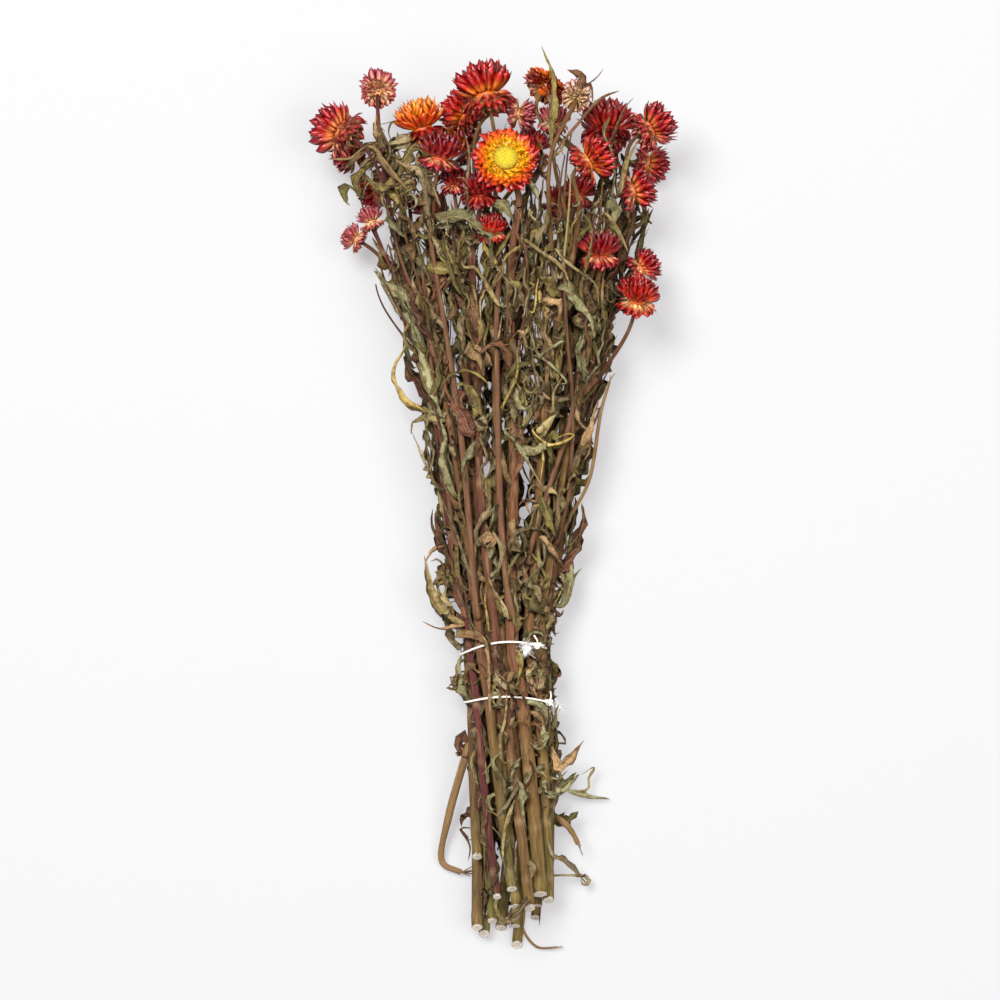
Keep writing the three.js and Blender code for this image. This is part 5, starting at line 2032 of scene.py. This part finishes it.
@dataclass
class LeafyStem:
    """A stem with its stalks, its own leaves and the leaves that stand out of the bunch."""

    stem: Stem
    heads: list[HeadPlan]
    finishes: Finishes
    solid: Array
    step: float = 3.6
    sides: int = 18
    scar_spacing: float = 31.0
    scar_swell: float = 0.09
    foot_y: float = -222.0
    foot_fade: float = 130.0
    cut_run: float = 8.0
    cut_shares: tuple[float, ...] = (1.0, 0.84, 0.5, 0.02)
    cut_depths: tuple[float, ...] = (0.0, 0.12, 0.1, -0.05)
    cut_tones: tuple[float, ...] = (0.55, 0.65, 1, 0.96, 0.8)
    cut_proud: float = 0.06
    cut_back: float = 0.8
    corner_size: float = 0.05
    first_leaf: float = -66.0
    leaf_spacing: float = 39.0
    leaf_places: int = 4
    leaf_end: float = 5.0
    own_scale: float = 1.15
    laid_scale: float = 1.35
    # Painted light: leaves of a given hue take the lit tone of the bunch's upper side.
    laid_lit_tone: float = 1.14
    tones: tuple[float, float] = (0.6, 1.1)
    # Painted shade and light: a leaf's tone runs from darker low in the bunch to lighter high up.
    tone_heights: tuple[float, float] = (18.0, 68.0)
    height_shading: tuple[float, float] = (0.5, 1.42)
    crown_start: tuple[float, float] = (120.0, 160.0)
    crown_tone: float = 0.82
    forward: float = 0.7
    fill_spacing: float = 4.0
    foot_spacing: float = 6.0
    foot_scale: float = 0.8
    stalk_scale: float = 0.6
    shoot_scale: float = 0.85
    upward: float = 0.3
    bare_share: float = 0.52
    shown_stem: int = 3
    shown_end: float = 70.0
    shown_share: float = 0.8
    stalk_gaps: float = 0.28
    outlying: float = 3.0
    twig_colour: Array = field(default_factory=lambda: rgb(150, 118, 74))
    twig_shreds: int = 5

    def __post_init__(self) -> None:
        """Sets up what the stem's own differences are drawn from."""
        stem = self.stem
        self.rng = np.random.default_rng(2000 + stem.index)
        self.count = 0
        shift = self.rng.uniform(-8, 8, 1)
        self.scars = np.arange(stem.cut + 12, stem.top, self.scar_spacing) + shift
        self.laid: list[Laid] = []
        self.stalks = [Stalk(head, stem) for head in self.heads if head.stem == stem.index]
        self.shoots = self._spare_shoots()
        trunk = stem.centre(np.linspace(stem.cut, stem.top, 160))
        stalks = [stalk.points(30) for stalk in self.stalks]
        self.lines = np.concatenate([trunk, *stalks, *self.shoots])

    def _is_corner(self, point: Array) -> bool:
        """Says whether the stem's solid has a corner at a point."""
        return bool(np.min(np.linalg.norm(self.solid - point, axis=1)) < self.corner_size)

    def gap_to(self, laid: Laid) -> float:
        """Finds how far the root of what is laid is from the stem or its stalks."""
        return float(np.min(np.linalg.norm(self.lines - laid.course()[0], axis=1)))

    def _joined(self, laid: Laid) -> Array:
        """Joins the course of what is laid to the nearest point of the stem.

        Args:
            laid: What is laid.

        Returns:
            The joined course.
        """
        course = laid.course()
        root = self.lines[np.argmin(np.linalg.norm(self.lines - course[0], axis=1))]
        return np.vstack([root, course])

    def _leaf(
        self,
        course: Array,
        half: float,
        facing: Array,
        turns: tuple[float, float],
        habit: Habit,
        hue: Hue | None = None,
    ) -> Leaf:
        """Makes a leaf of its own colour, with painted shade and light by height.

        Args:
            course: The points that it follows.
            half: Half its width.
            facing: Which way its face looks at its root.
            turns: How far it is rolled and how far it twists to its tip, in degrees.
            habit: How it has shrivelled.
            hue: Its colours, or None for any common ones.

        Returns:
            The leaf.
        """
        self.count += 1
        drawn = COMMON_HUES[self.rng.integers(len(COMMON_HUES))]
        _, y, z = course[1]
        # A random tone, times painted shade low in the bunch and painted light high in it.
        tone = self.rng.uniform(*self.tones) * np.interp(z, self.tone_heights, self.height_shading)
        tone *= np.interp(y, self.crown_start, (1, self.crown_tone))
        seed = 10000 * (self.stem.index + 1) + self.count
        # Leaves of a given hue take one lighter tone, painted light of the upper side.
        tone = self.laid_lit_tone if hue else tone
        return Leaf(course, half, facing, *turns, habit, hue or drawn, tone, seed)

    def laid_leaves(self) -> list[Leaf]:
        """Makes the leaves that lie on the upper side and start by this stem.

        Returns:
            The leaves.
        """
        leaves = []
        for laid in self.laid:
            if laid.habit is None:
                continue
            turns = self.rng.uniform(-25, 25), self.rng.uniform(-50, 50)
            half = laid.half * self.laid_scale
            leaves.append(self._leaf(self._joined(laid), half, UP, turns, laid.habit, laid.hue))
        return leaves

    def stray_leaves(self, mould: Mould) -> list[Leaf]:
        """Finds the leaves that stand out, as the solid holds them.

        Args:
            mould: What the bare stalks among them are added to.

        Returns:
            The leaves.
        """
        leaves = []
        for i, stray in enumerate(STRAYS):
            if stray.stem != self.stem.index:
                continue
            draw = Draws(300 + i)
            roll, twist = draw(-35, 35), draw(-70, 70)
            on_stalk = isinstance(stray.start, tuple)
            root = np.array(stray.start) if on_stalk else self.stem.centre(stray.start)
            points = np.array(stray.course, float).reshape(-1, 3)
            lift = next((lift for lift in LIFTS if self._is_corner(points[-1] + UP * lift)), None)
            if lift is None:
                continue
            course = np.vstack([root, points + UP * lift])
            if stray.hue is None:
                self._pour_twig(mould, course, stray.half)
                continue
            habit = CRUMPLED if stray.half > 2.5 else ROLLED
            half = stray.half * stray.breadth
            leaves.append(self._leaf(course, half, UP, (roll, twist), habit, stray.hue))
        return leaves

    def _pour_twig(self, mould: Mould, course: Array, radius: float) -> None:
        """Adds a dry twig with a ragged end.

        Args:
            mould: What it is added to.
            course: The points that it follows.
            radius: Its radius.
        """
        rows = 28
        points = flowing(course, np.linspace(0, 1, rows))
        knobs = 1 + 0.12 * drifting(self.rng, rows, 1, 9)[:, 0]
        radii = radius * knobs * np.linspace(1.1, 0.75, rows)
        tint = shaded(self.twig_colour, 0.2)
        Tube(points, radii, 12, 5, 0.12).pour(mould, tint, STEM_FINISH)
        along = unit(points[-1] - points[-3])
        thinning = np.linspace(0.35, 0.1, 6) * radius
        for _ in range(self.twig_shreds):
            end = points[-1] + along * radius * self.rng.uniform(1, 4)
            end = end + self.rng.normal(0, 0.8 * radius, 3)
            shred = flowing(np.array([points[-3], points[-1], end]), np.linspace(0, 1, 6))
            Tube(shred, thinning, 5).pour(mould, tint, STEM_FINISH)

    def _own_course(
        self, y: float, turn: float, run: float, reach: float, curl: float
    ) -> tuple[Array, Array]:
        """Works out the course of a leaf of the stem's own.

        Args:
            y: Where it leaves the stem.
            turn: How many golden angles round the stem.
            run: How far it runs along the stem.
            reach: How far it stands out.
            curl: How far it curls aside.

        Returns:
            The course and the way out from the stem.
        """
        along = self.stem.direction(y)
        side = unit(np.cross(RIGHT, along))
        out = turned(side, along, math.radians(turn * GOLDEN_ANGLE))
        aside = np.cross(along, out)
        root = self.stem.centre(y)
        shares = np.array([0, 0.3, 0.65, 1])[:, None]
        bow = out * reach * np.sin(0.7 * math.pi * shares)
        return root + bow + along * run * shares + aside * curl * shares**2, out

    def own_leaves(self) -> list[Leaf]:
        """Finds the stem's own leaves, as the solid holds them.

        Returns:
            The leaves.
        """
        leaves = []
        draw = Draws(500 + self.stem.index)
        turn = self.stem.index
        y = self.first_leaf + draw(0, self.leaf_spacing)
        while y < self.stem.top - self.leaf_end:
            roll, twist = draw(-50, 50), draw(-80, 80)
            draw(0.2, 0.5)  # a fold in the solid alone
            half, run = draw(2.2, 4), draw(24, 46)
            run *= 1 if draw(0, 1) < self.forward else -0.8
            reach, curl = draw(7, 14), draw(-8, 8)
            for place in range(turn, turn + self.leaf_places):
                course, out = self._own_course(y, place, run, reach, curl)
                if self._is_corner(course[-1]):
                    habit = RIPPLED if half > 2.8 else ROLLED
                    half *= self.own_scale
                    leaves.append(self._leaf(course, half, out, (roll, twist), habit))
                    break
            turn += self.leaf_places
            y += self.leaf_spacing + draw(-5, 5)
        return leaves

    def _hides_head(self, course: Array) -> bool:
        """Says whether a course runs into a head or over one.

        Args:
            course: Points from root to tip.

        Returns:
            True if it does.
        """
        for head in self.heads:
            gap = course - head.mid
            near = np.linalg.norm(gap, axis=1) < 1.02 * head.radius
            over = (np.hypot(gap[:, 0], gap[:, 1]) < 0.85 * head.radius) & (gap[:, 2] > -4)
            if near.any() or over.any():
                return True
        return False

    def _shrivelled(
        self, root: Array, along: Array, out: Array, kind: LeafKind, scale: float
    ) -> Leaf | None:
        """Draws one shrivelled leaf, unless it would hide a head.

        Args:
            root: Where it leaves.
            along: The direction of what bears it.
            out: The way it first stands out.
            kind: Its kind.
            scale: How big it is beside others of its kind.

        Returns:
            The leaf, or None.
        """
        rng = self.rng
        spans = kind.half, kind.run, kind.reach
        half, run, reach = (scale * rng.uniform(*span) for span in spans)
        run *= 1 if rng.random() < self.forward else -0.75
        aside = np.cross(along, out)
        shares = np.linspace(0, 1, 7)[:, None]
        course = root + out * reach * np.sin(0.75 * math.pi * shares) + along * run * shares
        course = course + aside * rng.uniform(-8, 8) * shares**2
        wander = np.cumsum(rng.normal(0, 1.7, (7, 3)), axis=0) * abs(run) / 30
        course[1:] += wander[1:]
        if rng.random() < 0.5:
            hook = rng.normal(0, 2, 3) + out * rng.uniform(1, 4)
            course[-1] = course[-2] + (course[-3] - course[-2]) * 0.7 + hook
        course[:, 2] = np.maximum(course[:, 2], 1)
        if self._hides_head(course) or self._leaves_bunch(course):
            return None
        habit = kind.habits[rng.integers(len(kind.habits))]
        turns = rng.uniform(-50, 50), rng.uniform(-140, 140)
        return self._leaf(course, half, out, turns, habit)

    def _kind(self) -> LeafKind:
        """Draws what kind the next leaf is."""
        shares = [kind.share for kind in LEAF_KINDS]
        return LEAF_KINDS[self.rng.choice(len(LEAF_KINDS), p=shares)]

    def _leaves_bunch(self, course: Array) -> bool:
        """Says whether a course stands too far out sideways, where few leaves do.

        Args:
            course: Points from root to tip.

        Returns:
            True if it does.
        """
        y = course[:, 1]
        reach = FORM.waist_radius * FORM.at(y, Part.ACROSS) + self.outlying
        return bool((np.abs(course[:, 0] - FORM.at(y, Part.MIDDLE)) > reach).any())

    def fill_leaves(self) -> list[Leaf]:
        """Draws the many shrivelled leaves that hang along the stem.

        Returns:
            The leaves.
        """
        leaves = []
        rng = self.rng
        turn = rng.uniform(0, 9)
        y = self.stem.cut + 25
        while y < self.stem.top + 4:
            turn += 1
            above = y > self.first_leaf
            along = self.stem.direction(y)
            side = unit(np.cross(RIGHT, along))
            out = turned(side, along, math.radians(turn * GOLDEN_ANGLE))
            upward = out[2] > self.upward
            bare = upward and rng.random() < self.bare_share
            shown = self.stem.index == self.shown_stem and upward and y < self.shown_end
            shown = shown and rng.random() < self.shown_share
            if not bare and not shown:
                scale = 1.0 if above else self.foot_scale
                leaf = self._shrivelled(self.stem.centre(y), along, out, self._kind(), scale)
                leaves += [leaf] if leaf else []
            y += (self.fill_spacing if above else self.foot_spacing) * rng.uniform(0.7, 1.3)
        for stalk in self.stalks:
            leaves += self._stalk_leaves(stalk.points(24), self.stalk_scale)
        for shoot in self.shoots:
            leaves += self._stalk_leaves(shoot, self.shoot_scale)
        return leaves

    def _spare_shoots(self) -> list[Array]:
        """Works out the courses of the shoots that bear no head.

        Returns:
            A course for each shoot.
        """
        shoots = []
        for stem, y, end in SPARE_SHOOTS:
            if stem == self.stem.index:
                root, tip = self.stem.centre(y), np.array(end, float)
                handle = float(np.linalg.norm(tip - root)) * 0.4
                leaving = self.stem.direction(y) * handle
                aside = np.array([2.0, 0.0, 3.0]) * math.sin(y)
                points = [root, root + leaving, tip - leaving * 0.8 + aside, tip]
                shoots.append(bezier(points, np.linspace(0, 1, 25)))
        return shoots

    def _stalk_leaves(self, points: Array, scale: float) -> list[Leaf]:
        """Draws the small leaves along a stalk.

        Args:
            points: The stalk's middle line.
            scale: How big they are beside the leaves of a stem.

        Returns:
            The leaves.
        """
        leaves = []
        rng = self.rng
        tangents = directions(points)
        for i in range(1, len(points) - 1):
            if rng.random() < self.stalk_gaps:
                continue
            along = tangents[i]
            out = turned(unit(np.cross(RIGHT, along)), along, rng.uniform(0, 2 * math.pi))
            leaf = self._shrivelled(points[i], along, out, self._kind(), scale)
            leaves += [leaf] if leaf else []
        return leaves

    def _tints(self, y: Array) -> Array:
        """Colours the stem along its length.

        Args:
            y: Places along the bunch.

        Returns:
            A tint for each.
        """
        index = self.stem.index
        body = STEM_COLOURS[index % len(STEM_COLOURS)]
        foot = STEM_FEET[0 if index == 0 else 1 + index % (len(STEM_FEET) - 1)]
        colour = foot + (body - foot) * ramp(y, self.foot_y, self.foot_fade)[:, None]
        scars = sum(np.exp(-(((y - joint - 1.5) / 1.1) ** 2)) for joint in self.scars)
        return np.column_stack([colour, 0.6 * scars])

    def _pour_cut(self, mould: Mould, ring: Array) -> None:
        """Adds the pale face of the cut end over a ring, clear of the floor's limit.

        Args:
            mould: Where the faces go.
            ring: The last ring of the stem.
        """
        middle = ring.mean(axis=0)
        shares = np.array(self.cut_shares)[:, None, None]
        sunk = max(0.0, LOWEST - float(ring[:, 2].min()))
        depths = (np.array(self.cut_depths) + self.cut_proud + sunk)[:, None, None]
        outward = -self.stem.direction(self.stem.cut)
        rings = middle + (ring - middle) * shares + outward * depths
        rings = np.concatenate([rings[:1] - outward * self.cut_back, rings])
        faces = skin(*rings.shape[:2], inward=True)
        tints = np.array([shaded(CUT_PALE * tone, 0.5) for tone in self.cut_tones])[:, None]
        mould.add(rings, faces, tints, np.zeros(3), CUT_FINISH)

    def _pour_stem(self, mould: Mould) -> None:
        """Adds the stem, a little swollen at its leaf scars, and its leading stalk.

        Args:
            mould: Where the faces go.
        """
        stem = self.stem
        y = np.linspace(stem.cut + self.cut_run, stem.top, round((stem.top - stem.cut) / self.step))
        y = np.append(stem.cut, y)
        stalk = next(stalk for stalk in self.stalks if stalk.head.start is None)
        points = stalk.points(16)[1:]
        swell = sum(np.exp(-(((y - joint) / 2.4) ** 2)) for joint in self.scars)
        radii = stem.radius_at(y) * (1 + self.scar_swell * swell)
        end = np.linspace(float(stem.radius_at(stem.top)), stalk.end_radius, len(points) + 1)[1:]
        course = np.vstack([stem.centre(y), points])
        tints = self._tints(np.concatenate([y, points[:, 1]]))
        slant = self.rng.uniform(0.45, 0.75)
        ribs = int(self.rng.integers(6, 9))
        tube = Tube(course, np.concatenate([radii, end]), self.sides, ribs, cut_slant=slant)
        self._pour_cut(mould, tube.pour(mould, tints, STEM_FINISH))

    def _pour_shoots(self, mould: Mould) -> None:
        """Adds the side stalks that bear heads, and the shoots that bear none.

        Args:
            mould: Where the faces go.
        """
        for stalk in self.stalks:
            if stalk.head.start is None:
                continue
            points = stalk.points(22)
            radii = np.linspace(stalk.root_radius, stalk.end_radius, len(points))
            Tube(points, radii, 10, 5).pour(mould, self._tints(points[:, 1]), STEM_FINISH)
        for points in self.shoots:
            radii = np.linspace(0.9, 0.4, len(points))
            Tube(points, radii, 7, 3).pour(mould, self._tints(points[:, 1]), STEM_FINISH)
        for laid in self.laid:
            if laid.habit is None:
                points = flowing(self._joined(laid), np.linspace(0, 1, 36))
                radii = np.linspace(laid.half, 0.5 * laid.half, len(points))
                tint = shaded(rgb(*laid.hue.value[0]), 0.1)
                Tube(points, radii, 12, 5).pour(mould, tint, STEM_FINISH)

    def build(self) -> Piece:
        """Builds the leafy stem.

        Returns:
            Its piece.
        """
        mould = Mould()
        leaves = self.stray_leaves(mould) + self.own_leaves()
        held = len(leaves)
        leaves += self.laid_leaves() + self.fill_leaves()
        self._pour_stem(mould)
        self._pour_shoots(mould)
        for leaf in leaves:
            leaf.pour(mould, LEAF_FINISH)
        finishes = [self.finishes.stem, self.finishes.leaf, self.finishes.cut]
        piece = mould.cast(f"stem_{self.stem.index + 1:02d}", finishes)
        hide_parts(self.stem.node)
        LOG.info("%s has %d leaves, %d of them in the solid", piece.name, len(leaves), held)
        return piece


# ---- String ----


@dataclass
class TiedString:
    """A loop of twisted cotton round the waist, with its knot, ends and fluff.

    The knot and the fluff are at degrees round the waist. Each tail ends at a turn from
    the knot and a way along the bunch.
    """

    name: str
    y: float
    arch: float
    slant: float
    knot_at: float
    fluff_at: float
    tails: tuple[tuple[float, float], ...]
    finishes: Finishes
    seed: int
    fibres: int = 150
    fibre_radii: tuple[float, float] = (0.11, 0.06)
    fibre_lengths: tuple[float, float] = (1.5, 5.5)
    steps: int = 420
    strands: int = 3
    lay: float = 3.4
    snugness: float = 0.8
    end_radius: float = 0.5
    knot_size: tuple[float, float, float] = (0.75, 0.55, 0.6)
    knot_proud: float = 1.0
    tail_proud: float = 1.5
    tail_hump: tuple[float, float, float] = (0.8, 0.0, 1.2)
    puff_radii: tuple[float, ...] = (0.2, 0.8, 1.2, 1.1, 1.5, 1.7, 1.3, 1.6, 1.4, 1.0, 0.7, 0.1)
    colour: Array = field(default_factory=lambda: rgb(244, 240, 230))
    puff: Array = field(default_factory=lambda: rgb(255, 254, 252))

    def point(self, angle: Array, proud: float = 0.0) -> Array:
        """Finds points on the loop.

        Args:
            angle: Angles round the waist.
            proud: How far outside the loop.

        Returns:
            A point for each angle.
        """
        angle = np.asarray(angle, float)
        at = self.y - self.arch * np.cos(angle) ** 2 + self.slant * np.cos(angle)
        radius = FORM.waist_radius + FORM.string_radius + proud
        x = FORM.at(at, Part.MIDDLE) + radius * np.cos(angle)
        return np.stack([x, at, FORM.middle_height(at) + radius * np.sin(angle)], axis=-1)

    def _pour_cord(self, mould: Mould, points: Array, radius: float) -> None:
        """Adds a twisted cord along points.

        Args:
            mould: What it is added to.
            points: The cord's middle line, closely sampled.
            radius: The cord's radius.
        """
        tangents = directions(points)
        across = carried(tangents, RIGHT if abs(tangents[0][0]) < 0.9 else UP)
        turns = distances(points) / self.lay
        radii = np.full(len(points), radius * 0.52)
        for strand in range(self.strands):
            turn = 2 * math.pi * (turns + strand / self.strands)
            offset = turned(across, tangents, turn) * radius * 0.5
            Tube(points + offset, radii, 6).pour(mould, shaded(self.colour, strand / self.strands))

    def _pour_knot(self, mould: Mould, seat: Array) -> None:
        """Adds a knot of small loops.

        Args:
            mould: Where the faces go.
            seat: Where the knot sits.
        """
        t = np.linspace(0, 2 * math.pi, 60)
        x, y = np.sin(t) + 2 * np.sin(2 * t), np.cos(t) - 2 * np.cos(2 * t)
        local = np.stack([x, y, -np.sin(3 * t)], axis=-1)
        self._pour_cord(mould, seat + local * np.array(self.knot_size), self.end_radius)

    def _pour_fluff(self, mould: Mould, seat: Array, rng: Rng) -> None:
        """Adds a soft puff of frayed fibres.

        Args:
            mould: Where the faces go.
            seat: Where the knot sits.
            rng: A row of random numbers.
        """
        course = seat + np.cumsum(rng.normal(0, 0.6, (6, 3)), axis=0)
        course = course + np.linspace(1.5, -2.5, 6)[:, None] * [0.3, 1, 0.3]
        core = flowing(course, np.linspace(0, 1, len(self.puff_radii)))
        tint = shaded(self.puff, 0.5)
        Tube(core, np.array(self.puff_radii), 9, 4, 0.2).pour(mould, tint)
        radii = np.linspace(*self.fibre_radii, 7)
        for _ in range(self.fibres):
            way = unit(rng.normal(0, 1, 3) + np.array([0.2, -0.6, 0.2]))
            bend = np.cumsum(rng.normal(0, 0.7, (5, 3)), axis=0)
            reach = rng.uniform(*self.fibre_lengths)
            course = seat + way * np.linspace(0, reach, 5)[:, None] + bend
            points = flowing(course, np.linspace(0, 1, len(radii)))
            Tube(points, radii, 3).pour(mould, shaded(self.puff, rng.random()))

    def build(self) -> Piece:
        """Builds the string.

        Returns:
            Its piece.
        """
        mould = Mould()
        rng = np.random.default_rng(self.seed)
        loop = self.point(np.linspace(0, 2 * math.pi, self.steps))
        self._pour_cord(mould, loop, FORM.string_radius * self.snugness)
        angle = math.radians(self.knot_at)
        seat = self.point(angle, self.knot_proud)
        self._pour_knot(mould, seat)
        for turn, along in self.tails:
            end = self.point(angle + math.radians(turn), self.tail_proud) + np.array([0, along, 0])
            course = np.array([seat, (seat + end) / 2 + np.array(self.tail_hump), end])
            self._pour_cord(mould, flowing(course, np.linspace(0, 1, 30)), self.end_radius)
        fluff = self.point(math.radians(self.fluff_at), self.tail_proud) - np.array([0, 2, 0])
        self._pour_fluff(mould, fluff, rng)
        piece = mould.cast(f"twisted_{self.name}", [self.finishes.cotton])
        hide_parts(self.name)
        return piece


# ---- Studio ----


@dataclass(frozen=True)
class SoftLight:
    """A square area light that looks at the bunch."""

    name: str
    place: tuple[float, float, float]
    size: float
    power: float
    is_diffuse: bool = True

    def hang(self) -> None:
        """Hangs the light."""
        data = bpy.data.lights.new(self.name, "AREA")
        data.shape = "SQUARE"
        data.size = self.size
        data.energy = self.power
        lamp = bpy.data.objects.new(self.name, data)
        lamp.location = self.place
        lamp.visible_diffuse = self.is_diffuse
        lamp.rotation_euler = (-Vector(self.place)).to_track_quat("-Z", "Y").to_euler()
        bpy.context.collection.objects.link(lamp)


@dataclass(frozen=True)
class Studio:
    """The pale floor, the soft lights and the camera above the bunch, in metres."""

    height: float = 2.44
    aim: tuple[float, float] = (0.0047, 0.00275)
    half_view: float = 0.275
    view_depth: float = 2.4
    far_clip: float = 10.0
    floor_size: float = 6.0
    floor_colour: tuple[float, ...] = (0.27, 0.277, 0.27, 1)
    floor_glow: tuple[float, ...] = (1.0, 0.96, 1.0, 1)
    floor_glow_strength: float = 0.445
    floor_roughness: float = 0.95
    sky: tuple[float, ...] = (1.0, 0.99, 0.99, 1)
    sky_strength: float = 0.07
    lights: tuple[SoftLight, ...] = (
        SoftLight("key", (-0.8, 1.0, 3.0), 1.3, 152.0),
        SoftLight("fill", (1.2, 0.0, 3.0), 2.0, 78.0),
        SoftLight("gloss", (-0.3, 0.45, 1.6), 0.15, 24.0, False),
    )

    def build(self) -> None:
        """Builds the studio."""
        bpy.context.scene.view_settings.view_transform = "Standard"
        self._floor()
        self._sky()
        for light in self.lights:
            light.hang()
        self._camera()

    def _floor(self) -> None:
        """Lays the floor."""
        half = self.floor_size / 2
        corners = [(-half, -half, 0), (half, -half, 0), (half, half, 0), (-half, half, 0)]
        mesh = bpy.data.meshes.new("floor")
        mesh.from_pydata(corners, [], [(0, 1, 2, 3)])
        floor = bpy.data.objects.new("floor", mesh)
        bpy.context.collection.objects.link(floor)
        material = bpy.data.materials.new("pale_floor")
        material.use_nodes = True
        inputs = material.node_tree.nodes["Principled BSDF"].inputs
        inputs["Base Color"].default_value = self.floor_colour
        inputs["Emission Color"].default_value = self.floor_glow
        inputs["Emission Strength"].default_value = self.floor_glow_strength
        inputs["Roughness"].default_value = self.floor_roughness
        inputs["Specular IOR Level"].default_value = 0.0
        mesh.materials.append(material)

    def _sky(self) -> None:
        """Sets an even sky."""
        world = bpy.data.worlds.new("soft_sky")
        world.use_nodes = True
        inputs = world.node_tree.nodes["Background"].inputs
        inputs["Color"].default_value = self.sky
        inputs["Strength"].default_value = self.sky_strength
        bpy.context.scene.world = world

    def _camera(self) -> None:
        """Hangs the camera, looking straight down."""
        data = bpy.data.cameras.new("camera")
        data.angle = 2 * math.atan(self.half_view / self.view_depth)
        data.clip_end = self.far_clip
        camera = bpy.data.objects.new("camera", data)
        camera.location = (*self.aim, self.height)
        bpy.context.collection.objects.link(camera)
        bpy.context.scene.camera = camera


def main() -> None:
    """Dresses the frame, piece by piece."""
    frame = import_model()
    Studio().build()
    finishes = Finishes()
    heads = all_heads()
    pieces = []
    for plan in heads:
        pieces.append(FlowerHead(plan, finishes).build())
        if plan.is_open:
            pieces.append(FloretDisc(plan, finishes).build())
    growths = []
    for stem in all_stems():
        vertices = frame["nodes"][stem.node].data.vertices
        solid = np.array([vertex.co for vertex in vertices]) / MM
        growths.append(LeafyStem(stem, heads, finishes, solid))
    torn = [leaf for i, tangle in enumerate(TANGLES) for leaf in tangle.leaves(4000 + i)]
    for laid in (*LAID, *torn):
        min(growths, key=lambda growth: growth.gap_to(laid)).laid.append(laid)
    pieces.extend(growth.build() for growth in growths)
    strings = (
        TiedString("upper_string", -75, 6.3, 1.25, 48, 65, ((-11.5, 1), (5.7, 5)), finishes, 3001),
        TiedString("lower_string", -105, 4.5, -0.5, 36, 20, ((-9.5, -3), (-1.9, 6)), finishes, 3002),
    )
    pieces.extend(string.build() for string in strings)
    for piece in pieces:
        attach(piece, "root")
        LOG.info("%s: %d faces", piece.name, len(piece.data.polygons))


if __name__ == "__main__":
    logging.basicConfig(level=logging.INFO, format="%(message)s")
    main()
